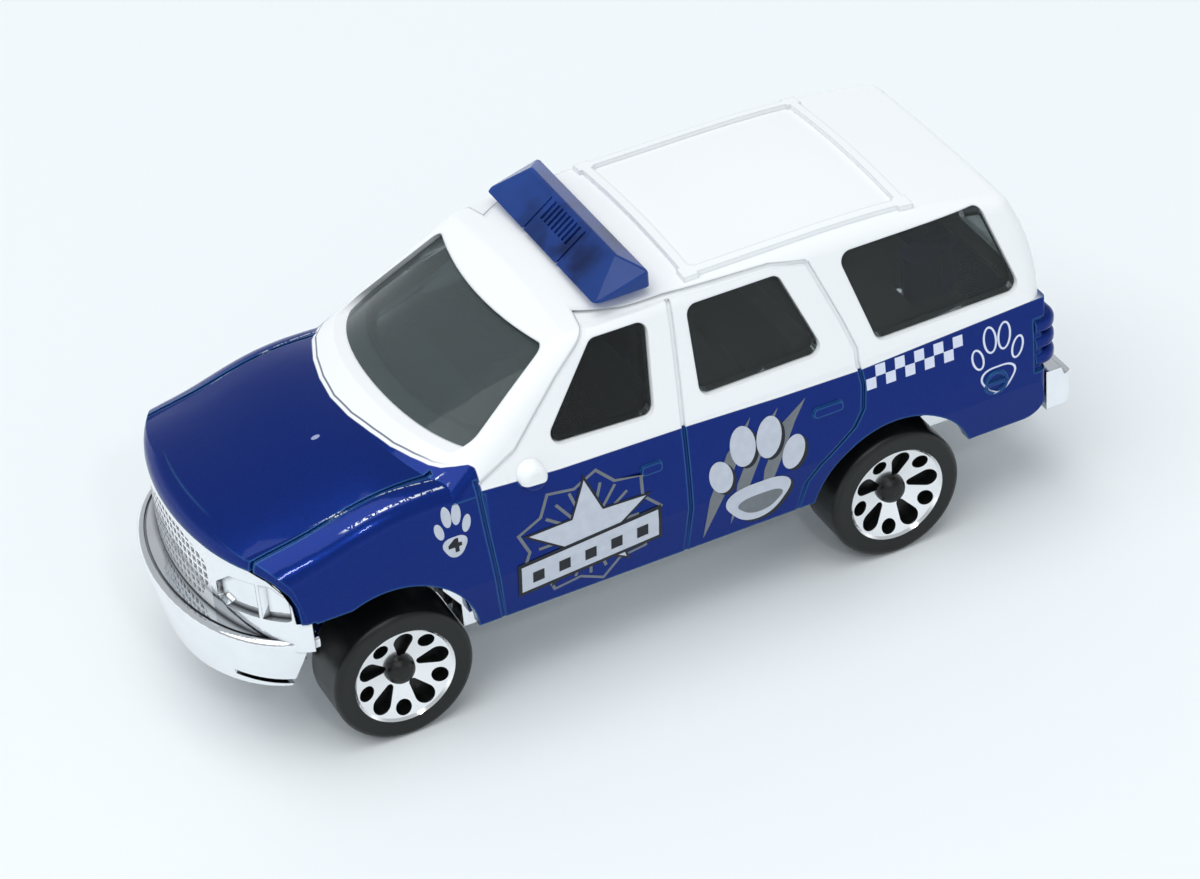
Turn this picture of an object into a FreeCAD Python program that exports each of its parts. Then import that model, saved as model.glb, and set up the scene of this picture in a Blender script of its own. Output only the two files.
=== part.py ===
import FreeCAD, Part
import math
import os

from FreeCAD import Vector

# Small die-cast police car: a four-wheel-drive estate about three inches long.
# Lengths are millimetres. +X points forward, +Y to the left and +Z up.
# The origin is on the ground, under the middle of the overall length.

# Overall sizes
WHEELBASE = 44.5
FRONT_OVERHANG = 15.0
REAR_OVERHANG = 17.4
BODY_WIDTH = 28.4
WHEEL_RADIUS = 5.95

FRONT_AXLE_X = (WHEELBASE + FRONT_OVERHANG + REAR_OVERHANG) / 2 - FRONT_OVERHANG
REAR_AXLE_X = FRONT_AXLE_X - WHEELBASE
FRONT_TIP_X = FRONT_AXLE_X + FRONT_OVERHANG
REAR_TIP_X = REAR_AXLE_X - REAR_OVERHANG
HALF_WIDTH = BODY_WIDTH / 2

# Heights along the body side, above the ground
ROCKER_Z = 7.8
TAIL_BOTTOM_Z = 8.6
CREASE_Z = 12.3
HOOD_EDGE_Z = 18.7
BELT_Z = 20.3
FENDER_TOP_Z = 22.0
ROOF_Z = 31.0
GUTTER_DROP = 1.4

GUTTER_Z = ROOF_Z - GUTTER_DROP

# Places along the body, each measured from the nearer axle
COWL_BEHIND_AXLE = 10.5
HOOD_AHEAD_OF_AXLE = 12.8
FENDER_END_AHEAD_OF_AXLE = 6.6
ROOF_FRONT_BEHIND_AXLE = 16.4
TAIL_BEHIND_AXLE = 14.5
ROOF_REAR_BEHIND_AXLE = 12.3

COWL_X = FRONT_AXLE_X - COWL_BEHIND_AXLE
HOOD_TIP_X = FRONT_AXLE_X + HOOD_AHEAD_OF_AXLE
FENDER_END_X = FRONT_AXLE_X + FENDER_END_AHEAD_OF_AXLE
ROOF_FRONT_X = FRONT_AXLE_X - ROOF_FRONT_BEHIND_AXLE
TAIL_X = REAR_AXLE_X - TAIL_BEHIND_AXLE
ROOF_REAR_X = REAR_AXLE_X - ROOF_REAR_BEHIND_AXLE

# Casting and fits
WALL = 1.2
SEAT_GAP = 0.08
RUNNING_GAP = 0.25
GROOVE_DEPTH = 0.25
GROOVE_WIDTH = 0.36
OVERRUN = 2.0


# Shared shapes

def prism(points, direction):
    """Solid swept from a closed outline along a vector."""
    outline = Part.makePolygon(points + [points[0]])
    return Part.Face(outline).extrude(direction)


def rounded_outline(points, radius):
    """Closed wire through the points, with one radius at every corner."""
    starts = []
    ends = []
    arcs = []
    count = len(points)
    for index, corner in enumerate(points):
        to_last = (points[index - 1] - corner).normalize()
        to_next = (points[(index + 1) % count] - corner).normalize()
        half_turn = to_last.getAngle(to_next) / 2
        cut = radius / math.tan(half_turn)
        bisector = (to_last + to_next).normalize()
        centre = corner + bisector * (radius / math.sin(half_turn))
        start = corner + to_last * cut
        end = corner + to_next * cut
        starts.append(start)
        ends.append(end)
        arcs.append(Part.Arc(start, centre - bisector * radius, end).toShape())
    edges = []
    for index in range(count):
        edges.append(Part.LineSegment(ends[index - 1], starts[index]).toShape())
        edges.append(arcs[index])
    return Part.Wire(edges)


def rounded_prism(points, radius, direction):
    """Solid swept from an outline with rounded corners."""
    return Part.Face(rounded_outline(points, radius)).extrude(direction)


def box(low, high):
    """Upright block between two corners."""
    size = high - low
    return Part.makeBox(size.x, size.y, size.z, low)


def fuse_all(shapes):
    """One solid from several that touch or overlap."""
    return shapes[0].fuse(shapes[1:]).removeSplitter()


def mirrored(shape):
    """The same shape on the other side of the car."""
    return shape.mirror(Vector(0, 0, 0), Vector(0, 1, 0))


def both_sides(shape):
    """A shape and its mirror image."""
    return [shape, mirrored(shape)]


def filleted(shape, radius, wanted):
    """Round the edges that the test picks out."""
    edges = [edge for edge in shape.Edges if wanted(edge)]
    return shape.makeFillet(radius, edges)


def y_cylinder(radius, x, z, y_from, y_to):
    """Round bar along Y."""
    return Part.makeCylinder(radius, y_to - y_from, Vector(x, y_from, z), Vector(0, 1, 0))


def z_cylinder(radius, x, y, z_from, z_to):
    """Upright round bar."""
    return Part.makeCylinder(radius, z_to - z_from, Vector(x, y, z_from))


# Body outline in plan: a half-ellipse nose, straight flanks and a squared tail

NOSE_DEPTH = 6.9
NOSE_MARGIN = 0.3
NOSE_ROUNDING = 1.6
TAIL_CORNER_RADIUS = 0.8

nose_turn_shares = [0.0, 0.3, 0.55, 0.8, 0.95]


def nose_plan(tip_x, depth, half_width, back_x, z):
    """Closed outline whose front is half an ellipse."""
    shoulder_x = tip_x - depth
    major = Vector(shoulder_x, half_width, z)
    minor = Vector(tip_x, 0, z)
    front = Part.Ellipse(major, minor, Vector(shoulder_x, 0, z)).toShape(0, math.pi)
    left = Vector(back_x, half_width, z)
    right = Vector(back_x, -half_width, z)
    flank_left = Part.LineSegment(left, major).toShape()
    flank_right = Part.LineSegment(Vector(shoulder_x, -half_width, z), right).toShape()
    tail = Part.LineSegment(right, left).toShape()
    return Part.Wire([flank_left, front, flank_right, tail])


def nose_prism(tip_x, depth, half_width, back_x, z_low, z_high):
    """Upright solid on such an outline."""
    face = Part.Face(nose_plan(tip_x, depth, half_width, back_x, z_low))
    return face.extrude(Vector(0, 0, z_high - z_low))


def body_plan(inset):
    """Tall solid on the body's plan, whose nose turns over toward the hood."""
    tip_x = HOOD_TIP_X - inset
    half = HALF_WIDTH + NOSE_MARGIN - inset
    back_x = TAIL_X + inset
    radius = NOSE_ROUNDING - inset
    wires = []
    for share in nose_turn_shares:
        turn = share * math.pi / 2
        z = HOOD_EDGE_Z + radius * math.sin(turn)
        wires.append(nose_plan(tip_x - radius * (1 - math.cos(turn)), NOSE_DEPTH, half, back_x, z))
    lower = nose_prism(tip_x, NOSE_DEPTH, half, back_x, 0, HOOD_EDGE_Z)
    rounding = Part.makeLoft(wires, True, False)
    upper = Part.Face(wires[-1]).extrude(Vector(0, 0, ROOF_Z - HOOD_EDGE_Z))
    solid = lower.fuse([rounding, upper])
    corner = TAIL_CORNER_RADIUS - inset
    block = box(Vector(back_x, -HALF_WIDTH + inset, -OVERRUN),
                Vector(FRONT_TIP_X + OVERRUN, HALF_WIDTH - inset, ROOF_Z + OVERRUN))
    if corner > SEAT_GAP:
        block = filleted(block, corner, lambda edge: abs(edge.CenterOfMass.x - back_x) < SEAT_GAP
                         and abs(edge.CenterOfMass.y) > HALF_WIDTH / 2)
    return solid.common(block)


# Body side, seen from the front: a sill that leans out to a crease,
# then a flank that draws in a little up to the belt or the fender top

SILL_TUCK = 0.6
FLANK_TUCK = 0.35
FLANK_BULGE = 0.12
FENDER_TUCK = 0.45
SHOULDER_RADIUS = 1.7
HOOD_CROWN = 1.1
HOOD_DROP = 3.1

crown_slope_share = 0.8

# Share of the hood's length from the cowl, then share of its drop
hood_station_shares = [
    (0.0, 0.0),
    (0.33, 0.04),
    (0.53, 0.2),
    (0.7, 0.52),
    (0.82, 0.68),
    (0.92, 0.84),
    (1.0, 1.08),
]


def half_section(x, inset, top_y, top_z, radius):
    """Left edges of a section across the body, from the sill to the shoulder."""
    bottom_z = ROCKER_Z - OVERRUN if inset > 0 else ROCKER_Z
    sill = Vector(x, HALF_WIDTH - SILL_TUCK - inset, bottom_z)
    crease = Vector(x, HALF_WIDTH - inset, CREASE_Z)
    corner = Vector(x, top_y - inset, top_z - inset)
    up = (corner - crease).normalize()
    start = corner - up * radius
    bulge = (crease + start) / 2 + Vector(0, FLANK_BULGE, 0)
    edges = [Part.LineSegment(sill, crease).toShape(), Part.Arc(crease, bulge, start).toShape()]
    end = start
    if radius:
        end = corner - Vector(0, radius, 0)
        pull = radius * (1 - math.cos(math.pi / 4))
        middle = corner - up * pull - Vector(0, pull, 0)
        edges.append(Part.Arc(start, middle, end).toShape())
    return edges, sill, end


def body_section(x, inset, top_y, top_z, crown_z, radius):
    """Closed section across the body, with a crowned top."""
    left, sill, end = half_section(x, inset, top_y, top_z, radius)
    right = [mirrored(edge) for edge in reversed(left)]
    mirror_end = Vector(x, -end.y, end.z)
    mirror_sill = Vector(x, -sill.y, sill.z)
    crown = Vector(x, 0, crown_z - inset)
    slope_z = end.z + (crown.z - end.z) * crown_slope_share
    curve = Part.BSplineCurve()
    curve.interpolate([end, Vector(x, end.y / 2, slope_z), crown,
                       Vector(x, -end.y / 2, slope_z), mirror_end])
    bottom = Part.LineSegment(mirror_sill, sill).toShape()
    return Part.Wire([bottom] + left + [curve.toShape()] + right)


def hood_block(inset):
    """Hood and both fenders as one crowned solid."""
    length = HOOD_TIP_X - COWL_X
    sections = []
    for along, drop in hood_station_shares:
        top_z = FENDER_TOP_Z - drop * HOOD_DROP
        radius = SHOULDER_RADIUS * (1 + along) - inset
        sections.append(body_section(COWL_X + along * length, inset, HALF_WIDTH - FENDER_TUCK,
                                     top_z, top_z + HOOD_CROWN, radius))
    return Part.makeLoft(sections, True, False)


def cabin_block(inset):
    """Doors and rear quarters below the belt as one straight solid."""
    start = body_section(TAIL_X - OVERRUN, inset, HALF_WIDTH - FLANK_TUCK, BELT_Z, BELT_Z, 0)
    return Part.Face(start).extrude(Vector(COWL_X - TAIL_X + 2 * OVERRUN, 0, 0))


def lower_body(inset):
    """Body below the windows, drawn in by the inset."""
    return cabin_block(inset).fuse(hood_block(inset)).common(body_plan(inset))


# Greenhouse: windscreen, pillars and roof above the belt

GREENHOUSE_TUCK = 2.9
SCREEN_BASE_AHEAD_OF_COWL = 13.8
SCREEN_BOW_AT_BELT = 8.9
SCREEN_BOW_AT_ROOF = 1.3
PILLAR_RADIUS = 1.9
REAR_PILLAR_RADIUS = 1.6
ROOF_EDGE_RADIUS = 1.5
ROOF_SIDE_DROP = 1.2
TAILGATE_BULGE = 0.85

# Share of the roof's length from the rear, then share of its side drop lost at the centre
roof_station_shares = [
    (-0.2, 2.6),
    (0.0, 1.2),
    (0.18, 0.33),
    (0.54, 0.0),
    (0.88, 0.33),
    (1.0, 0.75),
    (1.35, 2.5),
]


def greenhouse_plan(z, inset):
    """Plan outline of the greenhouse at a height."""
    rise = (z - BELT_Z) / (GUTTER_Z - BELT_Z)
    base_x = COWL_X + SCREEN_BASE_AHEAD_OF_COWL
    lean = math.hypot(1, (base_x - ROOF_FRONT_X) / (GUTTER_Z - BELT_Z))
    front_x = base_x + (ROOF_FRONT_X - base_x) * rise - inset * lean
    bow = SCREEN_BOW_AT_BELT + (SCREEN_BOW_AT_ROOF - SCREEN_BOW_AT_BELT) * rise
    rear_x = TAIL_X - OVERRUN
    half = HALF_WIDTH - FLANK_TUCK - GREENHOUSE_TUCK * rise - inset
    front_left = Vector(front_x - bow, half, z)
    front_right = Vector(front_x - bow, -half, z)
    rear_left = Vector(rear_x, half, z)
    rear_right = Vector(rear_x, -half, z)
    edges = [
        Part.Arc(front_right, Vector(front_x, 0, z), front_left).toShape(),
        Part.LineSegment(front_left, rear_left).toShape(),
        Part.LineSegment(rear_left, rear_right).toShape(),
        Part.LineSegment(rear_right, front_right).toShape(),
    ]
    return Part.Wire(edges)


def tailgate_side(inset):
    """Block whose rear follows the tailgate's bowed profile, seen from the side."""
    side_y = HALF_WIDTH + OVERRUN
    low = Vector(TAIL_X + inset, -side_y, BELT_Z)
    high = Vector(ROOF_REAR_X + inset, -side_y, GUTTER_Z)
    along = (high - low).normalize()
    back = Vector(-along.z, 0, along.x)
    profile = Part.Arc(low, (low + high) / 2 + back * TAILGATE_BULGE, high).toShape()
    first, last = profile.ParameterRange
    profile = Part.ArcOfCircle(profile.Curve, first, last + (last - first) / 2)
    top = profile.EndPoint
    front_x = FRONT_TIP_X + OVERRUN
    corners = [top, Vector(front_x, -side_y, top.z), Vector(front_x, -side_y, 0),
               Vector(low.x, -side_y, 0), low]
    edges = [profile.toShape()] + Part.makePolygon(corners).Edges
    return Part.Face(Part.Wire(edges)).extrude(Vector(0, 2 * side_y, 0))


def roof_solid(inset):
    """Tall solid whose top is the crowned roof, run out past both ends."""
    roof_length = ROOF_FRONT_X - ROOF_REAR_X
    low_z = BELT_Z - 2 * WALL
    sections = []
    for along, drop in roof_station_shares:
        x = ROOF_REAR_X + along * roof_length
        centre_z = ROOF_Z - drop * ROOF_SIDE_DROP - inset
        left = Vector(x, HALF_WIDTH, centre_z - ROOF_SIDE_DROP)
        right = Vector(x, -HALF_WIDTH, centre_z - ROOF_SIDE_DROP)
        low_left = Vector(x, HALF_WIDTH, low_z)
        low_right = Vector(x, -HALF_WIDTH, low_z)
        edges = [
            Part.LineSegment(low_left, left).toShape(),
            Part.Arc(left, Vector(x, 0, centre_z), right).toShape(),
            Part.LineSegment(right, low_right).toShape(),
            Part.LineSegment(low_right, low_left).toShape(),
        ]
        sections.append(Part.Wire(edges))
    return Part.makeLoft(sections, True, False)


def pillar_edge(edge):
    """True for an edge that climbs a corner of the greenhouse."""
    return len(edge.Vertexes) == 2 and abs(edge.Vertexes[0].Z - edge.Vertexes[1].Z) > OVERRUN


def greenhouse(inset):
    """Solid of the greenhouse, drawn in by the inset."""
    belt_plan = greenhouse_plan(BELT_Z, inset)
    cage = Part.makeLoft([belt_plan, greenhouse_plan(ROOF_Z + OVERRUN, inset)], True, True)
    cage = cage.common(tailgate_side(inset))
    for radius, front in ((PILLAR_RADIUS, True), (REAR_PILLAR_RADIUS, False)):
        if radius - inset > SEAT_GAP:
            cage = filleted(cage, radius - inset, lambda edge: pillar_edge(edge)
                            and (edge.CenterOfMass.x > ROOF_REAR_X + OVERRUN) == front)
    solid = cage.common(roof_solid(inset))
    if inset < ROOF_EDGE_RADIUS / 2:
        low_z = GUTTER_Z - OVERRUN
        solid = filleted(solid, ROOF_EDGE_RADIUS - inset, lambda edge: edge.CenterOfMass.z > low_z)
    if inset > 0:
        skirt = Part.Face(belt_plan).extrude(Vector(0, 0, -2 * WALL)).common(tailgate_side(inset))
        solid = solid.fuse(skirt)
    return solid


# Points on the body side. Each pair holds two shares: of the wheelbase behind the
# front axle, and of the height from the rocker to the belt or from the belt to the gutter.

def door_point(along_share, up_share, side_y):
    """Place on the body side below the belt."""
    return Vector(FRONT_AXLE_X - along_share * WHEELBASE, side_y, ROCKER_Z + up_share * (BELT_Z - ROCKER_Z))


def glass_point(along_share, up_share, side_y):
    """Place on the greenhouse side."""
    return Vector(FRONT_AXLE_X - along_share * WHEELBASE, side_y, BELT_Z + up_share * (GUTTER_Z - BELT_Z))


# Window openings in the greenhouse

WINDOW_RADIUS = 0.9
SCREEN_ABOVE_BELT = 2.7
SCREEN_BELOW_GUTTER = 0.7
SCREEN_BOW = 0.9
SCREEN_LOW_MARGIN = 2.3
SCREEN_HIGH_MARGIN = 4.6
REAR_WINDOW_ABOVE_BELT = 1.7
REAR_WINDOW_BOW = 0.4
REAR_WINDOW_LOW_MARGIN = 3.6
REAR_WINDOW_HIGH_MARGIN = 5.0

SCREEN_LOW_Z = BELT_Z + SCREEN_ABOVE_BELT
SCREEN_HIGH_Z = GUTTER_Z - SCREEN_BELOW_GUTTER
SCREEN_LOW_HALF = HALF_WIDTH - SCREEN_LOW_MARGIN
SCREEN_HIGH_HALF = HALF_WIDTH - SCREEN_HIGH_MARGIN
REAR_WINDOW_LOW_Z = BELT_Z + REAR_WINDOW_ABOVE_BELT
REAR_WINDOW_LOW_HALF = HALF_WIDTH - REAR_WINDOW_LOW_MARGIN
REAR_WINDOW_HIGH_HALF = HALF_WIDTH - REAR_WINDOW_HIGH_MARGIN

side_window_shares = [
    [(0.31, 0.194), (0.528, 0.151), (0.551, 0.95), (0.439, 0.95)],
    [(0.62, 0.161), (0.874, 0.172), (0.811, 0.95), (0.627, 0.95)],
    [(0.978, 0.108), (1.281, 0.118), (1.225, 0.95), (0.93, 0.95)],
]


def side_window(corner_shares, clearance):
    """Prism through both sides for one window."""
    side_y = HALF_WIDTH + OVERRUN
    points = [glass_point(along, up, side_y) for along, up in corner_shares]
    opening = rounded_outline(points, WINDOW_RADIUS)
    if clearance:
        opening = opening.makeOffset2D(-clearance)
    return Part.Face(opening).extrude(Vector(0, -2 * side_y, 0))


def screen_opening(x_from, x_to, low_z, low_half, high_half, bow, clearance):
    """Prism along X for the windscreen or the rear window, over a sill that bows up."""
    points = [
        Vector(x_from, low_half, low_z),
        Vector(x_from, high_half, SCREEN_HIGH_Z),
        Vector(x_from, -high_half, SCREEN_HIGH_Z),
        Vector(x_from, -low_half, low_z),
    ]
    opening = rounded_outline(points, WINDOW_RADIUS)
    if clearance:
        opening = opening.makeOffset2D(-clearance)
    left = Vector(x_from, low_half, low_z + clearance)
    right = Vector(x_from, -low_half, low_z + clearance)
    top = Vector(x_from, 0, low_z + bow + clearance)
    arch = Part.Wire([Part.Arc(left, top, right).toShape(), Part.LineSegment(right, left).toShape()])
    return Part.Face(opening).cut(Part.Face(arch)).extrude(Vector(x_to - x_from, 0, 0))


def window_openings(clearance):
    """All window prisms, narrowed by a clearance."""
    middle_x = (ROOF_FRONT_X + ROOF_REAR_X) / 2
    openings = [side_window(corner_shares, clearance) for corner_shares in side_window_shares]
    openings.append(screen_opening(middle_x, FRONT_TIP_X, SCREEN_LOW_Z, SCREEN_LOW_HALF,
                                   SCREEN_HIGH_HALF, SCREEN_BOW, clearance))
    openings.append(screen_opening(TAIL_X - OVERRUN, middle_x, REAR_WINDOW_LOW_Z, REAR_WINDOW_LOW_HALF,
                                   REAR_WINDOW_HIGH_HALF, REAR_WINDOW_BOW, clearance))
    return openings


# Wheels and axles: a tyre and a dished face moulded in one, with a hollow back

TYRE_WIDTH = 5.3
WHEEL_INSET = 0.05
TYRE_SHOULDER = 0.55
SIDEWALL = 1.6
RIM_LIP = 0.25
HUB_RADIUS = 1.25
HUB_RECESS = 1.0
HUB_DOME = 0.85
SPOKE_THICKNESS = 1.5
TREAD_WALL = 1.35
AXLE_RADIUS = 0.55
AXLE_FIT = 0.05
AXLE_HEAD_RADIUS = 0.72
AXLE_HEAD_LENGTH = 0.4
AXLE_HEAD_ROUNDING = 0.15
POCKETS = 5
LARGE_POCKET_INNER = 1.75
LARGE_POCKET_OUTER = 3.15
LARGE_POCKET_NARROW = 0.35
LARGE_POCKET_WIDE = 0.82
SMALL_POCKET_RADIUS = 0.68
SMALL_POCKET_PLACE = 3.3
POCKET_DEPTH = 0.8
FRONT_WHEEL_TURN = -24.0
REAR_WHEEL_TURN = -30.0

# Shares of the hub's radius and of its dome's height
dome_shoulder_shares = (0.72, 0.72)

WHEEL_OUTER_Y = HALF_WIDTH - WHEEL_INSET
WHEEL_INNER_Y = WHEEL_OUTER_Y - TYRE_WIDTH
HUB_FACE_Y = WHEEL_OUTER_Y - HUB_RECESS
RIM_RADIUS = WHEEL_RADIUS - SIDEWALL
BACK_RIM_RADIUS = WHEEL_RADIUS - TREAD_WALL
AXLE_END_Y = HUB_FACE_Y + AXLE_HEAD_LENGTH


def teardrop(inner, outer, narrow, wide, depth):
    """Pocket with a narrow end toward the hub, lying along +X, cut along -Y."""
    lean = math.asin((wide - narrow) / (outer - inner))
    across = Vector(-math.sin(lean), 0, math.cos(lean))
    below = Vector(across.x, 0, -across.z)
    near = Vector(inner, 0, 0)
    far = Vector(outer, 0, 0)
    tip = near - Vector(narrow, 0, 0)
    end = far + Vector(wide, 0, 0)
    edges = [
        Part.LineSegment(near + across * narrow, far + across * wide).toShape(),
        Part.Arc(far + across * wide, end, far + below * wide).toShape(),
        Part.LineSegment(far + below * wide, near + below * narrow).toShape(),
        Part.Arc(near + below * narrow, tip, near + across * narrow).toShape(),
    ]
    return Part.Face(Part.Wire(edges)).extrude(Vector(0, -depth, 0))


def wheel_blank():
    """Left wheel about the Y axis, turned from one profile: a domed hub closes its bore."""
    back_y = HUB_FACE_Y - SPOKE_THICKNESS
    bore = AXLE_RADIUS + AXLE_FIT
    chamber = AXLE_HEAD_RADIUS + AXLE_FIT
    apex = Vector(0, HUB_FACE_Y + HUB_DOME, 0)
    out, up = dome_shoulder_shares
    shoulder = Vector(HUB_RADIUS * out, HUB_FACE_Y + HUB_DOME * up, 0)
    points = [
        Vector(HUB_RADIUS, HUB_FACE_Y, 0),
        Vector(RIM_RADIUS - RIM_LIP, WHEEL_OUTER_Y - RIM_LIP, 0),
        Vector(RIM_RADIUS, WHEEL_OUTER_Y, 0),
        Vector(WHEEL_RADIUS, WHEEL_OUTER_Y, 0),
        Vector(WHEEL_RADIUS, WHEEL_INNER_Y, 0),
        Vector(BACK_RIM_RADIUS, WHEEL_INNER_Y, 0),
        Vector(BACK_RIM_RADIUS, back_y, 0),
        Vector(HUB_RADIUS, back_y, 0),
        Vector(HUB_RADIUS, WHEEL_INNER_Y, 0),
        Vector(bore, WHEEL_INNER_Y, 0),
        Vector(bore, HUB_FACE_Y - SEAT_GAP, 0),
        Vector(chamber, HUB_FACE_Y - SEAT_GAP, 0),
        Vector(chamber, AXLE_END_Y + SEAT_GAP, 0),
        Vector(0, AXLE_END_Y + SEAT_GAP, 0),
        apex,
    ]
    dome = Part.Arc(apex, shoulder, points[0]).toShape()
    profile = Part.Face(Part.Wire(Part.makePolygon(points).Edges + [dome]))
    blank = profile.revolve(Vector(0, 0, 0), Vector(0, 1, 0), 360)
    full_turn = 2 * math.pi * WHEEL_RADIUS
    return filleted(blank, TYRE_SHOULDER, lambda edge: edge.Length > full_turn - AXLE_FIT)


def wheel(turn):
    """Left wheel with its ring of pockets, turned on its axle."""
    middle = (LARGE_POCKET_INNER + LARGE_POCKET_OUTER) / 2
    dish = (middle - HUB_RADIUS) / (RIM_RADIUS - HUB_RADIUS)
    floor_y = HUB_FACE_Y + dish * (HUB_RECESS - RIM_LIP) - POCKET_DEPTH
    cuts = []
    for index in range(POCKETS):
        angle = turn + index * 360 / POCKETS
        pocket = teardrop(LARGE_POCKET_INNER, LARGE_POCKET_OUTER, LARGE_POCKET_NARROW,
                          LARGE_POCKET_WIDE, OVERRUN)
        pocket.translate(Vector(0, floor_y + OVERRUN, 0))
        pocket.rotate(Vector(0, 0, 0), Vector(0, 1, 0), angle)
        hole = y_cylinder(SMALL_POCKET_RADIUS, SMALL_POCKET_PLACE, 0, floor_y, floor_y + OVERRUN)
        hole.rotate(Vector(0, 0, 0), Vector(0, 1, 0), angle + 180 / POCKETS)
        cuts += [pocket, hole]
    return wheel_blank().cut(cuts)


def axle():
    """Plain steel pin with a rounded head at each end, snapped into the hubs."""
    head = y_cylinder(AXLE_HEAD_RADIUS, 0, 0, HUB_FACE_Y, AXLE_END_Y)
    head = filleted(head, AXLE_HEAD_ROUNDING, lambda edge: edge.CenterOfMass.y > AXLE_END_Y - AXLE_FIT
                    and isinstance(edge.Curve, Part.Circle))
    pin = y_cylinder(AXLE_RADIUS, 0, 0, -HUB_FACE_Y, HUB_FACE_Y)
    return fuse_all([pin] + both_sides(head))


# Wheel arches: the front ones run on, flat topped, to the end of the fender

ARCH_BESIDE_WHEEL = 0.65
FRONT_ARCH_GAP = 1.55
FRONT_ARCH_AHEAD_OF_AXLE = 0.6
FRONT_ARCH_ABOVE_AXLE = 1.25
REAR_ARCH_GAP = 1.65
FRONT_ARCH_FLAT_Z = 14.1

ARCH_INNER_Y = WHEEL_INNER_Y + ARCH_BESIDE_WHEEL
FRONT_ARCH_X = FRONT_AXLE_X + FRONT_ARCH_AHEAD_OF_AXLE
FRONT_ARCH_CENTRE_Z = WHEEL_RADIUS + FRONT_ARCH_ABOVE_AXLE
FRONT_ARCH_RADIUS = WHEEL_RADIUS + FRONT_ARCH_GAP
REAR_ARCH_RADIUS = WHEEL_RADIUS + REAR_ARCH_GAP


def arch_cut(x, radius, centre_z):
    """Round-topped opening over a wheel on the left side."""
    low = Vector(x - radius, ARCH_INNER_Y, 0)
    high = Vector(x + radius, HALF_WIDTH + OVERRUN, centre_z)
    return y_cylinder(radius, x, centre_z, ARCH_INNER_Y, HALF_WIDTH + OVERRUN).fuse(box(low, high))


def front_arch_run():
    """Flat-topped part of the front arch, ahead of the wheel."""
    low = Vector(FRONT_ARCH_X, ARCH_INNER_Y, 0)
    high = Vector(FENDER_END_X + OVERRUN, HALF_WIDTH + OVERRUN, FRONT_ARCH_FLAT_Z)
    return box(low, high)


# Nose opening: everything below the hood's lip is left to the plated front

FENDER_TIP_Z = 14.3
FENDER_TIP_LENGTH = 1.1
FENDER_EDGE_LENGTH = 2.35

# Front edge of the fender, from its tip to the hood: shares of its length and height
fender_edge_shares = [(0.0, 0.0), (0.05, 0.37), (0.25, 0.64), (0.61, 0.88), (1.0, 1.0)]


def nose_cut():
    """Prism that opens the nose for the grille and lamps."""
    side_y = HALF_WIDTH + OVERRUN
    tip_x = FENDER_END_X + FENDER_TIP_LENGTH
    outline_x_z = [(FENDER_END_X, 0), (FENDER_END_X, FENDER_TIP_Z)]
    for along, up in fender_edge_shares:
        outline_x_z.append((tip_x + along * FENDER_EDGE_LENGTH,
                            FENDER_TIP_Z + up * (HOOD_EDGE_Z - FENDER_TIP_Z)))
    outline_x_z += [(FRONT_TIP_X + OVERRUN, HOOD_EDGE_Z), (FRONT_TIP_X + OVERRUN, 0)]
    points = [Vector(x, -side_y, z) for x, z in outline_x_z]
    return prism(points, Vector(0, 2 * side_y, 0))


# Shut lines: doors, door frames, hood and tailgate, cut as narrow grooves

HOOD_LINE_MARGIN = 2.95
TAILGATE_LINE_MARGIN = 4.0
TAILGATE_LOW_Z = 12.9
PLATE_HALF = 3.0
PLATE_LOW_Z = 14.2
PLATE_HIGH_Z = 17.0

HOOD_LINE_Y = HALF_WIDTH - HOOD_LINE_MARGIN
TAILGATE_LINE_Y = HALF_WIDTH - TAILGATE_LINE_MARGIN

lower_line_shares = [
    [(0.178, 1.1), (0.184, 0.72), (0.193, 0.37), (0.205, -0.1)],
    [(0.5775, 1.0), (0.5775, 0.35), (0.564, -0.1)],
    [(0.931, 1.0), (0.939, 0.82), (0.935, 0.64), (0.915, 0.52), (0.881, 0.424),
     (0.845, 0.328), (0.815, 0.21), (0.798, 0.0)],
]
pillar_line_shares = [
    [(0.5775, 0.0), (0.584, 0.27), (0.594, 0.76), (0.598, 1.03)],
    [(0.931, 0.0), (0.933, 0.11), (0.915, 0.39), (0.888, 0.74), (0.87, 0.97)],
]
door_top_line_shares = [
    (0.87, 0.97), (0.8, 1.03), (0.598, 1.05), (0.44, 1.03), (0.36, 0.72), (0.26, 0.26), (0.178, 0.08),
]


def strip(points, across, sweep):
    """Narrow band along a line of points, swept to a solid."""
    near = [point - across / 2 for point in points]
    far = [point + across / 2 for point in reversed(points)]
    return prism(near + far, sweep)


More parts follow.
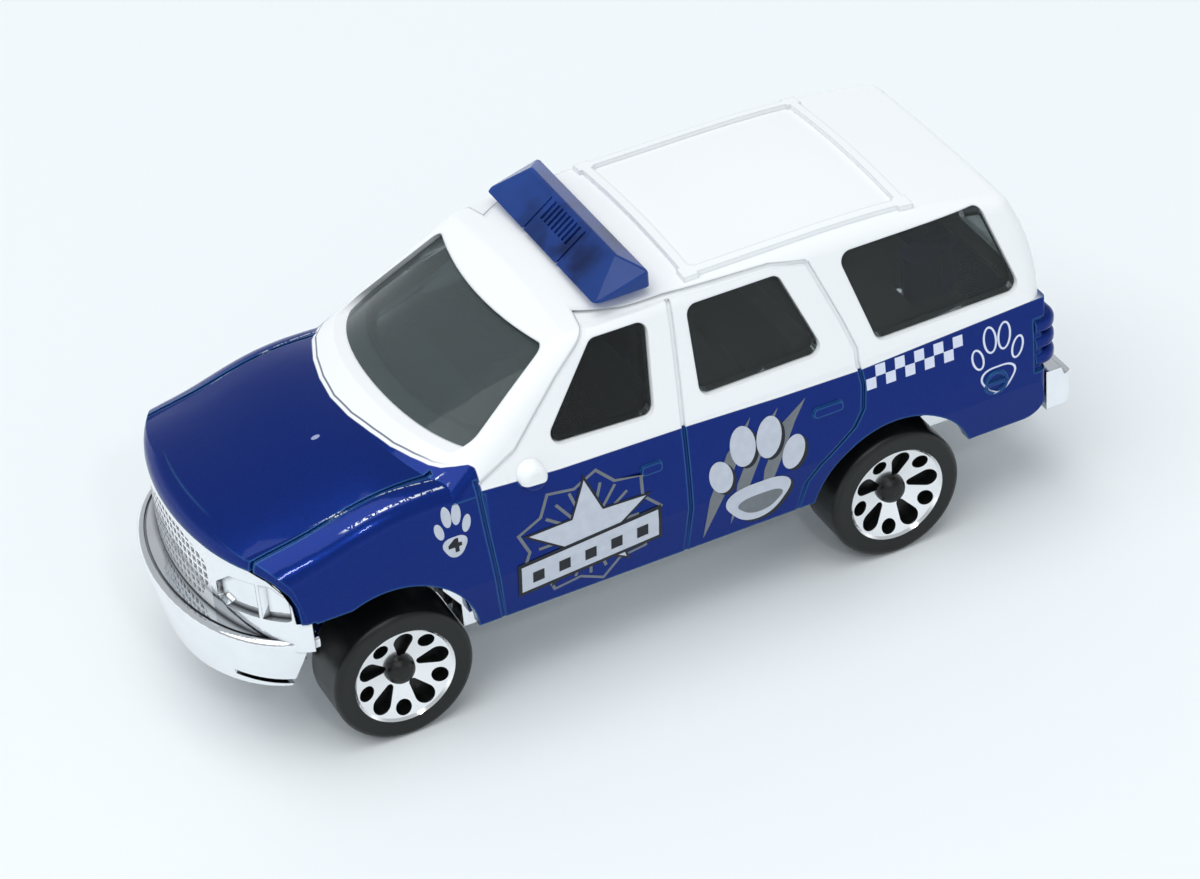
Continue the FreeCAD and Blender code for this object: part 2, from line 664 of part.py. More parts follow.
def shut_lines():
    """Bands that mark every shut line, run through the whole body."""
    side_y = HALF_WIDTH + OVERRUN
    through = Vector(0, -2 * side_y, 0)
    upright = Vector(GROOVE_WIDTH, 0, 0)
    level = Vector(0, 0, GROOVE_WIDTH)
    bands = []
    for line in lower_line_shares:
        bands.append(strip([door_point(along, up, side_y) for along, up in line], upright, through))
    for line in pillar_line_shares:
        bands.append(strip([glass_point(along, up, side_y) for along, up in line], upright, through))
    top_line = [glass_point(along, up, side_y) for along, up in door_top_line_shares]
    bands.append(strip(top_line, level, through))
    for y in (HOOD_LINE_Y, -HOOD_LINE_Y):
        low = Vector(FRONT_AXLE_X - COWL_BEHIND_AXLE / 2, y - GROOVE_WIDTH / 2, HOOD_EDGE_Z)
        high = Vector(FRONT_TIP_X, y + GROOVE_WIDTH / 2, ROOF_Z)
        bands.append(box(low, high))
    for y in (TAILGATE_LINE_Y, -TAILGATE_LINE_Y):
        low = Vector(TAIL_X - OVERRUN, y - GROOVE_WIDTH / 2, TAILGATE_LOW_Z)
        high = Vector(TAIL_X + OVERRUN, y + GROOVE_WIDTH / 2, BELT_Z)
        bands.append(box(low, high))
    bands.append(box(Vector(TAIL_X - OVERRUN, -TAILGATE_LINE_Y, TAILGATE_LOW_Z),
                     Vector(TAIL_X + OVERRUN, TAILGATE_LINE_Y, TAILGATE_LOW_Z + GROOVE_WIDTH)))
    bands.append(box(Vector(TAIL_X - OVERRUN, -PLATE_HALF, PLATE_LOW_Z),
                     Vector(TAIL_X + OVERRUN, PLATE_HALF, PLATE_HIGH_Z)))
    return bands


# Tail lamps: a sunk frame with four lobes that wrap the corner

LAMP_FRAME_LENGTH = 1.3
LAMP_FRAME_LOW_Z = 13.3
LAMP_FRAME_HIGH_Z = 18.5
LAMP_LOBES = 3
LAMP_MARGIN = 0.2
LOBE_GAP = 0.12
LOBE_REACH = 1.4
LOBE_INSET = 0.1
LOBE_CORNER_RADIUS = 1.7
LOBE_ROUNDING = 0.6
LAMP_INNER_MARGIN = 3.3
TAIL_LOW_ROUNDING = 2.1

LAMP_INNER_Y = HALF_WIDTH - LAMP_INNER_MARGIN


def tail_block(outset):
    """Rear of the body below the belt, swelled by the outset."""
    block = cabin_block(-outset)
    low = Vector(TAIL_X - outset, -HALF_WIDTH - outset, 0)
    high = Vector(COWL_X, HALF_WIDTH + outset, BELT_Z)
    plan = filleted(box(low, high), TAIL_CORNER_RADIUS + outset,
                    lambda edge: abs(edge.CenterOfMass.x - low.x) < SEAT_GAP
                    and abs(edge.CenterOfMass.y) > HALF_WIDTH / 2)
    return block.common(plan)


def lamp_frame():
    """Left corner recess for the tail lamp."""
    return box(Vector(TAIL_X - OVERRUN, LAMP_INNER_Y, LAMP_FRAME_LOW_Z),
               Vector(TAIL_X + LAMP_FRAME_LENGTH, HALF_WIDTH + OVERRUN, LAMP_FRAME_HIGH_Z))


def lamp_lobes():
    """Lobes of the left tail lamp, one above the other, standing out behind the tail."""
    pitch = (LAMP_FRAME_HIGH_Z - LAMP_FRAME_LOW_Z - 2 * LAMP_MARGIN) / LAMP_LOBES
    low = Vector(TAIL_X - LOBE_REACH, LAMP_INNER_Y + LAMP_MARGIN, 0)
    high = Vector(TAIL_X + LAMP_FRAME_LENGTH - LAMP_MARGIN, HALF_WIDTH - LOBE_INSET, pitch - LOBE_GAP)
    lobe = box(low, high)
    lobe = filleted(lobe, LOBE_CORNER_RADIUS, lambda edge: abs(edge.CenterOfMass.x - low.x) < SEAT_GAP
                    and abs(edge.CenterOfMass.y - high.y) < SEAT_GAP)
    lobe = filleted(lobe, LOBE_ROUNDING, lambda edge: level_edge(edge)
                    and edge.CenterOfMass.y > low.y + AXLE_FIT
                    and edge.CenterOfMass.x < high.x - AXLE_FIT)
    first_z = LAMP_FRAME_LOW_Z + LAMP_MARGIN + LOBE_GAP / 2
    return [lobe.translated(Vector(0, 0, first_z + index * pitch)) for index in range(LAMP_LOBES)]


def level_edge(edge):
    """True for an edge whose ends are at one height."""
    heights = [vertex.Z for vertex in edge.Vertexes]
    return max(heights) - min(heights) < AXLE_FIT


# Small forms cast on the body: door handles, mirror stubs, filler cap and roof rack

HANDLE_RELIEF = 0.22
HANDLE_HEIGHT = 0.85
HANDLE_ROUNDING = 0.35
MIRROR_RADIUS = 1.15
MIRROR_BEHIND_AXLE = 12.4
MIRROR_Z = 20.7
MIRROR_REACH = 0.75
MIRROR_ROUNDING = 0.55
CAP_RADIUS = 1.1
CAP_BEHIND_AXLE = 9.5
CAP_Z = 13.8
CAP_RELIEF = 0.18
CAP_RING = 0.22
CAP_RIB = 0.32
RACK_HEIGHT = 0.42
RACK_BAR_WIDTH = 0.8
RACK_RAIL_MARGIN = 5.0
RACK_FOOT = 1.3
RACK_FRONT_BEHIND_AXLE = 29.2
RACK_REAR_BEHIND_AXLE = 48.5

RACK_RAIL_Y = HALF_WIDTH - RACK_RAIL_MARGIN

handle_span_shares = [(0.486, 0.527), (0.833, 0.893)]
handle_height_shares = [0.77, 0.74]


def handles():
    """Left door handles, raised a little from the flank."""
    swelled = tail_block(HANDLE_RELIEF)
    parts = []
    for span, up in zip(handle_span_shares, handle_height_shares):
        front = door_point(span[0], up, HALF_WIDTH / 2)
        rear = door_point(span[1], up, HALF_WIDTH / 2)
        half = Vector(0, 0, HANDLE_HEIGHT / 2)
        corners = [front - half, front + half, rear + half, rear - half]
        bar = rounded_prism(corners, HANDLE_ROUNDING, Vector(0, HALF_WIDTH, 0))
        parts.append(bar.common(swelled))
    return parts


def mirror_stub():
    """Left mirror, a short rounded lump at the foot of the windscreen pillar."""
    outer_y = HALF_WIDTH + MIRROR_REACH
    stub = y_cylinder(MIRROR_RADIUS, FRONT_AXLE_X - MIRROR_BEHIND_AXLE, MIRROR_Z,
                      HALF_WIDTH - WALL, outer_y)
    return filleted(stub, MIRROR_ROUNDING, lambda edge: edge.CenterOfMass.y > outer_y - AXLE_FIT
                    and isinstance(edge.Curve, Part.Circle))


def filler_cap():
    """Left fuel cap: a ring with a finger rib across it."""
    x = REAR_AXLE_X - CAP_BEHIND_AXLE
    base_y = HALF_WIDTH - WALL / 2
    outer_y = HALF_WIDTH + CAP_RELIEF
    disc = y_cylinder(CAP_RADIUS, x, CAP_Z, base_y, outer_y)
    dish = y_cylinder(CAP_RADIUS - CAP_RING, x, CAP_Z, outer_y - CAP_RELIEF, outer_y)
    rib = box(Vector(x - CAP_RADIUS + CAP_RING / 2, base_y, CAP_Z - CAP_RIB / 2),
              Vector(x + CAP_RADIUS - CAP_RING / 2, outer_y, CAP_Z + CAP_RIB / 2))
    return disc.cut(dish).fuse(rib)


def roof_rack():
    """Two rails and two cross bars that stand on the roof."""
    front_x = FRONT_AXLE_X - RACK_FRONT_BEHIND_AXLE
    rear_x = FRONT_AXLE_X - RACK_REAR_BEHIND_AXLE
    low_z = GUTTER_Z - OVERRUN
    high_z = ROOF_Z + OVERRUN
    half_bar = RACK_BAR_WIDTH / 2
    bars = []
    for x in (front_x, rear_x):
        bars.append(box(Vector(x - half_bar, -RACK_RAIL_Y, low_z), Vector(x + half_bar, RACK_RAIL_Y, high_z)))
    for y in (RACK_RAIL_Y, -RACK_RAIL_Y):
        bars.append(box(Vector(rear_x, y - half_bar, low_z), Vector(front_x, y + half_bar, high_z)))
        for x in (front_x, rear_x):
            foot = Vector(RACK_FOOT / 2, RACK_FOOT / 2, 0)
            bars.append(box(Vector(x, y, low_z) - foot, Vector(x, y, high_z) + foot))
    return fuse_all(bars).common(greenhouse(-RACK_HEIGHT))


# Posts inside the casting. Their ends pass through the base and are headed over below it.

POST_RADIUS = 1.7
POST_PIN_RADIUS = 0.9
POST_HOLE_CLEARANCE = 0.08
RIVET_RADIUS = 1.5
RIVET_HEIGHT = 0.45
RIVET_ROUNDING = 0.2
FRONT_POST_AHEAD_OF_AXLE = 3.9
REAR_POST_BEHIND_AXLE = 10.6
POST_WEB = 1.2
FLOOR_LOW_Z = 7.0
FLOOR_HIGH_Z = 8.4

POST_PLACES = (FRONT_AXLE_X + FRONT_POST_AHEAD_OF_AXLE, REAR_AXLE_X - REAR_POST_BEHIND_AXLE)


def post(x, top_z):
    """One post with its pin and rivet head."""
    head_top = FLOOR_LOW_Z - SEAT_GAP
    shank = z_cylinder(POST_RADIUS, x, 0, FLOOR_HIGH_Z + SEAT_GAP, top_z)
    pin = z_cylinder(POST_PIN_RADIUS, x, 0, head_top - RIVET_HEIGHT, FLOOR_HIGH_Z + OVERRUN)
    head = z_cylinder(RIVET_RADIUS, x, 0, head_top - RIVET_HEIGHT, head_top)
    head = filleted(head, RIVET_ROUNDING, lambda edge: isinstance(edge.Curve, Part.Circle)
                    and edge.CenterOfMass.z < head_top - RIVET_HEIGHT / 2)
    return fuse_all([shank, pin, head])


def posts():
    """Front post under the hood and rear post webbed to the tail."""
    front_x, rear_x = POST_PLACES
    web_half = POST_WEB / 2
    web = box(Vector(TAIL_X + WALL / 2, -web_half, FLOOR_HIGH_Z + SEAT_GAP),
              Vector(rear_x, web_half, BELT_Z - OVERRUN))
    return [post(front_x, FENDER_TOP_Z - WALL), post(rear_x, BELT_Z - OVERRUN), web]


# Light bar seats in two holes in the roof

BAR_BEHIND_AXLE = 23.2
BAR_LENGTH = 4.9
BAR_MARGIN = 4.3
BAR_STANDOFF = 0.15
BAR_REAR_HEIGHT = 1.35
BAR_HEIGHT = 2.25
RIDGE_AHEAD_OF_REAR = 1.75
BAR_HIP = 2.3
BAR_ROUNDING = 0.4
PEG_RADIUS = 0.8
PEG_CLEARANCE = 0.06
PEG_Y = 5.0
PEG_LENGTH = 1.85

BAR_X = FRONT_AXLE_X - BAR_BEHIND_AXLE
BAR_LOW_Z = ROOF_Z + BAR_STANDOFF
BAR_HALF = HALF_WIDTH - BAR_MARGIN
RIDGE_HALF = BAR_HALF - BAR_HIP


def tail_corner_cut():
    """Rounds the lower rear corner of both quarters, seen from the side."""
    corner = Vector(TAIL_X, -HALF_WIDTH, TAIL_BOTTOM_Z)
    block = box(corner - Vector(OVERRUN, 0, 0),
                corner + Vector(TAIL_LOW_ROUNDING, BODY_WIDTH, TAIL_LOW_ROUNDING))
    rounding = y_cylinder(TAIL_LOW_ROUNDING, TAIL_X + TAIL_LOW_ROUNDING, TAIL_BOTTOM_Z + TAIL_LOW_ROUNDING,
                          -HALF_WIDTH, HALF_WIDTH)
    return block.cut(rounding)


def body_shell():
    """Hollow casting with windows, arches, open nose and all its cast detail."""
    outside = lower_body(0).fuse(greenhouse(0))
    lined = lower_body(GROOVE_DEPTH).fuse(greenhouse(GROOVE_DEPTH))
    skin = outside.cut(lined)
    hollow = lower_body(WALL).fuse(greenhouse(WALL))
    marks = skin.common(shut_lines() + both_sides(lamp_frame()))
    added = [roof_rack()]
    for shape in handles() + [mirror_stub(), filler_cap()] + lamp_lobes():
        added += both_sides(shape)
    tail_low = box(Vector(TAIL_X - OVERRUN, -HALF_WIDTH - OVERRUN, 0),
                   Vector(REAR_AXLE_X, HALF_WIDTH + OVERRUN, TAIL_BOTTOM_Z))
    cuts = window_openings(0) + [nose_cut(), tail_low, tail_corner_cut()]
    cuts += both_sides(arch_cut(FRONT_ARCH_X, FRONT_ARCH_RADIUS, FRONT_ARCH_CENTRE_Z))
    cuts += both_sides(arch_cut(REAR_AXLE_X, REAR_ARCH_RADIUS, WHEEL_RADIUS))
    cuts += both_sides(front_arch_run())
    for y in (PEG_Y, -PEG_Y):
        cuts.append(z_cylinder(PEG_RADIUS + PEG_CLEARANCE, BAR_X, y, GUTTER_Z - OVERRUN, BAR_LOW_Z))
    shell = outside.cut(marks).fuse(added).cut([hollow] + cuts)
    return shell.fuse(posts())


# Plated base: floor, axle carriers, grille and lamps, and both bumpers in one moulding

FLOOR_MARGIN = 2.1
WELL_GAP = 0.3
TAIL_FLOOR_REACH = 0.8
PAN_MARGIN = 0.75
PAN_LOW_Z = 6.1
RAIL_WIDTH = 1.4
RAIL_Y = 5.2
RAIL_DROP = 0.5
SHAFT_RADIUS = 0.75
RIVET_RECESS = 2.0
CARRIER_HALF_LENGTH = 1.6
CARRIER_WIDTH = 2.2
CARRIER_LOW_Z = 4.6
SPLASH_HIGH_Z = 12.4
SPLASH_THICKNESS = 0.8
SPLASH_REACH = 1.4
FASCIA_DEPTH = 6.7
FASCIA_WALL = 1.4
FASCIA_GAP = 0.3
BUMPER_LOW_Z = 6.6
BUMPER_LIP_Z = 12.4
BUMPER_DEPTH = 8.4
BUMPER_RETURN = 0.25
BUMPER_MARGIN = 0.4
BUMPER_TUCK = 1.1
BUMPER_WALL = 1.9
BUMPER_DECK = 1.0
BUMPER_ROUNDING = 0.45
BUMPER_RISE = 1.2
BUMPER_LEVEL_HALF = 4.5
BUMPER_END_SLANT = 1.6
BUMPER_END_BACK = 0.8
DECK_CREASE_INSET = 0.75
DECK_CREASE_WIDTH = 0.2
DECK_CREASE_DEPTH = 0.15
BUMPER_SLOT_Z = 7.9
BUMPER_SLOT_HEIGHT = 0.45
BUMPER_SLOT_DEPTH = 0.3
BUMPER_SLOT_FROM_Y = 9.0
FOG_LAMP_Y = 8.3
FOG_LAMP_Z = 9.9
FOG_LAMP_LENGTH = 3.9
FOG_LAMP_HEIGHT = 1.8
FOG_LAMP_DEPTH = 0.4
GRILLE_LOW_Z = 12.8
GRILLE_HIGH_Z = 18.3
GRILLE_HALF = 6.1
GRILLE_COLUMNS = 16
GRILLE_ROWS = 7
GRILLE_BAR = 0.24
LAMP_DEPTH = 0.4
LAMP_LOW_Z = 13.9
LAMP_HIGH_Z = 17.6
LAMP_INNER_EDGE_Y = 7.1
LAMP_OUTER_MARGIN = 0.85
LAMP_DIVIDER_Y = 11.4
LAMP_DIVIDER_WIDTH = 0.28
LAMP_ROUNDING = 0.35
REAR_BUMPER_LOW_Z = 8.8
REAR_BUMPER_HIGH_Z = 12.6
REAR_BUMPER_MARGIN = 0.4
REAR_BUMPER_CORNER = 1.3

FLOOR_HALF = HALF_WIDTH - FLOOR_MARGIN
WELL_HALF = WHEEL_INNER_Y - WELL_GAP
PAN_HALF = WELL_HALF - PAN_MARGIN
TAIL_FLOOR_X = TAIL_X - TAIL_FLOOR_REACH
BUMPER_HALF = HALF_WIDTH - BUMPER_MARGIN
LAMP_OUTER_EDGE_Y = HALF_WIDTH - LAMP_OUTER_MARGIN
REAR_BUMPER_HALF = HALF_WIDTH - REAR_BUMPER_MARGIN

# Left half of the grille and the left lamp in front view: shares of width and height
grille_outline_shares = [(0.57, 0.0), (0.78, 0.07), (0.97, 0.36), (1.0, 0.58), (0.95, 0.76),
                         (0.74, 0.88), (0.33, 0.96)]
lamp_outline_shares = [(0.14, 0.0), (1.0, 0.14), (1.0, 0.72), (0.84, 1.0),
                       (0.28, 0.88), (0.0, 0.5), (0.0, 0.1)]

# Rear bumper from the side: share of its reach from the tail, then of its height
rear_bumper_shares = [
    (0.0, 0.0), (0.8, 0.0), (1.0, 0.25), (1.0, 0.62), (0.9, 0.78), (0.62, 0.8), (0.52, 1.0), (0.0, 1.0),
]


def bumper_blank(inset):
    """Bow-shaped front bumper, drawn in toward its lower edge."""
    back_x = FRONT_TIP_X - BUMPER_DEPTH - BUMPER_RETURN
    tip_x = FRONT_TIP_X - inset
    half = BUMPER_HALF - inset
    low_wire = nose_plan(tip_x - BUMPER_TUCK, BUMPER_DEPTH - BUMPER_TUCK,
                         half - BUMPER_TUCK, back_x, BUMPER_LOW_Z)
    top_wire = nose_plan(tip_x, BUMPER_DEPTH, half, back_x, BUMPER_LIP_Z)
    return Part.makeLoft([low_wire, top_wire], True, True)


def bumper_trims():
    """Wedges off the lower edge and the ends of the bumper's left half."""
    back_x = FRONT_TIP_X - BUMPER_DEPTH - BUMPER_RETURN - OVERRUN
    low_z = BUMPER_LOW_Z - OVERRUN
    rise_y_z = [(BUMPER_LEVEL_HALF, low_z), (BUMPER_HALF, low_z), (BUMPER_HALF, BUMPER_LOW_Z + BUMPER_RISE),
                (BUMPER_LEVEL_HALF, BUMPER_LOW_Z)]
    rise = prism([Vector(back_x, y, z) for y, z in rise_y_z], Vector(FRONT_TIP_X - back_x, 0, 0))
    top_x = FRONT_TIP_X - BUMPER_DEPTH + BUMPER_END_BACK
    top_z = BUMPER_LIP_Z - BUMPER_DECK
    end_x_z = [(back_x, low_z), (top_x + BUMPER_END_SLANT, low_z), (top_x + BUMPER_END_SLANT, BUMPER_LOW_Z),
               (top_x, top_z), (back_x, top_z)]
    end = prism([Vector(x, ARCH_INNER_Y, z) for x, z in end_x_z], Vector(0, HALF_WIDTH, 0))
    return [rise, end]


def deck_crease():
    """Fine line round the top of the bumper, inside its lip."""
    rings = []
    for inset in (DECK_CREASE_INSET, DECK_CREASE_INSET + DECK_CREASE_WIDTH):
        rings.append(nose_prism(FRONT_TIP_X - inset, BUMPER_DEPTH - inset, BUMPER_HALF - inset,
                                FRONT_TIP_X - BUMPER_DEPTH - OVERRUN,
                                BUMPER_LIP_Z - DECK_CREASE_DEPTH, HOOD_EDGE_Z))
    return rings[0].cut(rings[1])


def fog_lamp():
    """Flat oval sunk in the left half of the bumper."""
    half_height = FOG_LAMP_HEIGHT / 2
    reach = FOG_LAMP_LENGTH / 2 - half_height
    x = FRONT_TIP_X - BUMPER_DEPTH
    ends = [Part.makeCylinder(half_height, BUMPER_DEPTH, Vector(x, FOG_LAMP_Y + side, FOG_LAMP_Z),
                              Vector(1, 0, 0)) for side in (-reach, reach)]
    middle = box(Vector(x, FOG_LAMP_Y - reach, FOG_LAMP_Z - half_height),
                 Vector(FRONT_TIP_X, FOG_LAMP_Y + reach, FOG_LAMP_Z + half_height))
    return fuse_all(ends + [middle])


def front_bumper():
    """Bumper with a rounded lip, fog lamps, a low slot and a hollow back."""
    bumper = bumper_blank(0)
    skin = bumper.cut(bumper_blank(FOG_LAMP_DEPTH))
    slot = box(Vector(FRONT_TIP_X - BUMPER_DEPTH, BUMPER_SLOT_FROM_Y, BUMPER_SLOT_Z),
               Vector(FRONT_TIP_X, BUMPER_HALF, BUMPER_SLOT_Z + BUMPER_SLOT_HEIGHT))
    slot = slot.cut(bumper_blank(BUMPER_SLOT_DEPTH))
    cavity = nose_prism(FRONT_TIP_X - BUMPER_WALL, BUMPER_DEPTH - BUMPER_WALL,
                        BUMPER_HALF - BUMPER_WALL, FENDER_END_X - OVERRUN,
                        FLOOR_LOW_Z + WALL, BUMPER_LIP_Z - BUMPER_DECK)
    lamps = skin.common(both_sides(fog_lamp()))
    bumper = bumper.cut(bumper_trims() + [mirrored(trim) for trim in bumper_trims()])
    bumper = filleted(bumper, BUMPER_ROUNDING, lambda edge: level_edge(edge)
                      and abs(edge.CenterOfMass.z - BUMPER_LIP_Z) < AXLE_FIT
                      and isinstance(edge.Curve, (Part.Ellipse, Part.BSplineCurve)))
    return bumper.cut(both_sides(slot) + [cavity, lamps, deck_crease()])


def fascia_block(inset):
    """Upright front behind the bumper, drawn in by the inset."""
    block = nose_prism(HOOD_TIP_X - inset, FASCIA_DEPTH, HALF_WIDTH - SEAT_GAP - inset,
                       FENDER_END_X, BUMPER_LIP_Z - BUMPER_DECK, HOOD_EDGE_Z - SEAT_GAP)
    return block.common(nose_cut().translated(Vector(FASCIA_GAP, 0, -SEAT_GAP)))


def front_outline(shares, inner_y, outer_y, low_z, high_z):
    """Points of an outline in front view, from its shares."""
    return [Vector(FENDER_END_X, inner_y + across * (outer_y - inner_y), low_z + up * (high_z - low_z))
            for across, up in shares]


def grille_cells():
    """Grid of small square pockets inside the grille's round-ended outline."""
    left = front_outline(grille_outline_shares, 0, GRILLE_HALF, GRILLE_LOW_Z, GRILLE_HIGH_Z)
    right = [Vector(point.x, -point.y, point.z) for point in reversed(left)]
    inside = prism(left + right, Vector(FRONT_TIP_X - FENDER_END_X, 0, 0))
    pitch_y = 2 * GRILLE_HALF / GRILLE_COLUMNS
    pitch_z = (GRILLE_HIGH_Z - GRILLE_LOW_Z) / GRILLE_ROWS
    cells = []
    for column in range(GRILLE_COLUMNS):
        for row in range(GRILLE_ROWS):
            y = -GRILLE_HALF + column * pitch_y
            z = GRILLE_LOW_Z + row * pitch_z
            cells.append(box(Vector(FENDER_END_X, y + GRILLE_BAR / 2, z + GRILLE_BAR / 2),
                             Vector(FRONT_TIP_X, y + pitch_y - GRILLE_BAR / 2, z + pitch_z - GRILLE_BAR / 2)))
    return inside.common(Part.makeCompound(cells))


def headlamp():
    """Left lamp opening in front view, split by an upright bar."""
    x = FENDER_END_X
    points = front_outline(lamp_outline_shares, LAMP_INNER_EDGE_Y, LAMP_OUTER_EDGE_Y, LAMP_LOW_Z, LAMP_HIGH_Z)
    opening = rounded_prism(points, LAMP_ROUNDING, Vector(FRONT_TIP_X - x, 0, 0))
    half_bar = LAMP_DIVIDER_WIDTH / 2
    divider = box(Vector(x, LAMP_DIVIDER_Y - half_bar, LAMP_LOW_Z),
                  Vector(FRONT_TIP_X, LAMP_DIVIDER_Y + half_bar, LAMP_HIGH_Z))
    return opening.cut(divider)


def fascia():
    """Front with its grille and lamps, open at the back."""
    block = fascia_block(0)
    skin = block.cut(fascia_block(LAMP_DEPTH))
    pockets = skin.common(both_sides(headlamp()) + [grille_cells()])
    cavity = nose_prism(HOOD_TIP_X - FASCIA_WALL, FASCIA_DEPTH - FASCIA_WALL,
                        HALF_WIDTH - FASCIA_WALL - WALL, FENDER_END_X - OVERRUN,
                        BUMPER_LIP_Z, HOOD_EDGE_Z - FASCIA_WALL)
    return block.cut([pockets, cavity])


def rear_bumper():
    """Stepped bar across the tail, with rounded ends."""
    start_x = TAIL_X - SEAT_GAP
    reach = start_x - REAR_TIP_X
    height = REAR_BUMPER_HIGH_Z - REAR_BUMPER_LOW_Z
    points = [Vector(start_x - out * reach, -REAR_BUMPER_HALF, REAR_BUMPER_LOW_Z + up * height)
              for out, up in rear_bumper_shares]
    bar = prism(points, Vector(0, 2 * REAR_BUMPER_HALF, 0))
    plan = box(Vector(REAR_TIP_X, -REAR_BUMPER_HALF, 0),
               Vector(TAIL_X + OVERRUN, REAR_BUMPER_HALF, BELT_Z))
    plan = filleted(plan, REAR_BUMPER_CORNER, lambda edge: abs(edge.CenterOfMass.x - REAR_TIP_X) < SEAT_GAP
                    and abs(edge.CenterOfMass.y) > HALF_WIDTH / 2)
    tongue = box(Vector(TAIL_FLOOR_X, -WELL_HALF, FLOOR_LOW_Z),
                 Vector(start_x, WELL_HALF, REAR_BUMPER_LOW_Z + WALL))
    return bar.common(plan).fuse(tongue)


def splash_wall():
    """Upright liner behind the front wheels, with a lip over the tyre."""
    back_x = FRONT_ARCH_X - FRONT_ARCH_RADIUS
    front_x = back_x + SPLASH_THICKNESS
    step_z = FRONT_ARCH_CENTRE_Z + OVERRUN
    outline_x_z = [
        (back_x, FLOOR_LOW_Z), (front_x, FLOOR_LOW_Z), (front_x, step_z),
        (front_x + SPLASH_REACH, step_z + OVERRUN), (front_x + SPLASH_REACH, SPLASH_HIGH_Z),
        (back_x, SPLASH_HIGH_Z),
    ]
    points = [Vector(x, -FLOOR_HALF, z) for x, z in outline_x_z]
    return prism(points, Vector(0, 2 * FLOOR_HALF, 0))


def carriers(x):
    """Two blocks that hold one axle, bored for it."""
    blocks = []
    for side in (-1, 1):
        near_y = side * WELL_HALF
        far_y = side * (WELL_HALF - CARRIER_WIDTH)
        blocks.append(box(Vector(x - CARRIER_HALF_LENGTH, min(near_y, far_y), CARRIER_LOW_Z),
                          Vector(x + CARRIER_HALF_LENGTH, max(near_y, far_y), FLOOR_LOW_Z + WALL)))
    return blocks


def base():
    """Floor with its pan, rails and axle carriers, joined to both ends."""
    front_x = FRONT_ARCH_X - FRONT_ARCH_RADIUS
    rear_x = REAR_AXLE_X + REAR_ARCH_RADIUS
    channel = AXLE_RADIUS + RUNNING_GAP
    floor = box(Vector(rear_x, -FLOOR_HALF, FLOOR_LOW_Z),
                Vector(front_x + SPLASH_THICKNESS, FLOOR_HALF, FLOOR_HIGH_Z))
    spine = box(Vector(TAIL_FLOOR_X, -WELL_HALF, FLOOR_LOW_Z),
                Vector(FENDER_END_X + OVERRUN, WELL_HALF, FLOOR_HIGH_Z))
    pan = box(Vector(REAR_AXLE_X - CARRIER_HALF_LENGTH, -PAN_HALF, PAN_LOW_Z),
              Vector(FRONT_AXLE_X + CARRIER_HALF_LENGTH, PAN_HALF, FLOOR_HIGH_Z))
    pieces = [floor, spine, pan, front_bumper(), fascia(), rear_bumper(), splash_wall()]
    for side in (-1, 1):
        y = side * RAIL_Y
        pieces.append(box(Vector(rear_x, y - RAIL_WIDTH / 2, PAN_LOW_Z - RAIL_DROP),
                          Vector(front_x, y + RAIL_WIDTH / 2, FLOOR_HIGH_Z)))
    pieces.append(Part.makeCylinder(SHAFT_RADIUS, front_x - rear_x,
                                    Vector(rear_x, 0, PAN_LOW_Z), Vector(1, 0, 0)))
    cuts = []
    for x in (FRONT_AXLE_X, REAR_AXLE_X):
        pieces += carriers(x)
        cuts.append(box(Vector(x - channel, CARRIER_WIDTH - WELL_HALF, 0),
                        Vector(x + channel, WELL_HALF - CARRIER_WIDTH, WHEEL_RADIUS + channel)))
        cuts.append(y_cylinder(AXLE_RADIUS + AXLE_FIT, x, WHEEL_RADIUS, -HALF_WIDTH, HALF_WIDTH))
    for x in POST_PLACES:
        cuts.append(z_cylinder(POST_PIN_RADIUS + POST_HOLE_CLEARANCE, x, 0, 0, ROOF_Z))
        cuts.append(z_cylinder(RIVET_RECESS, x, 0, 0, FLOOR_LOW_Z))
        cuts.append(z_cylinder(POST_RADIUS + POST_HOLE_CLEARANCE, x, 0, FLOOR_HIGH_Z, ROOF_Z))
    return fuse_all(pieces).cut(cuts)


# Window insert: one clear moulding that lines the greenhouse

GLASS = 0.7
PANE_RECESS = 0.35
PANE_GAP = 0.1
GLASS_ABOVE_BELT = 0.2
GLASS_BELOW_GUTTER = 0.4


def glazing():
    """Clear liner with panes that stand in the window openings."""
    hollow = greenhouse(WALL + SEAT_GAP + GLASS)
    liner = greenhouse(WALL + SEAT_GAP).cut(hollow)
    thick = greenhouse(PANE_RECESS).cut(hollow)
    panes = [thick.common(opening) for opening in window_openings(PANE_GAP)]
    band = box(Vector(TAIL_X, -HALF_WIDTH, BELT_Z + GLASS_ABOVE_BELT),
               Vector(HOOD_TIP_X, HALF_WIDTH, GUTTER_Z - GLASS_BELOW_GUTTER))
    return liner.fuse(panes).common(band)


# Light bar: a hipped block with a louvred centre, standing on two pegs

LOUVRES = 8
LOUVRE_PITCH = 0.62
LOUVRE_WIDTH = 0.3
LOUVRE_DEPTH = 0.3
LOUVRE_TOP = 0.35
LOUVRE_LENGTH = 1.5
MODULE_LINE = 0.2
MODULE_HALF = 3.0


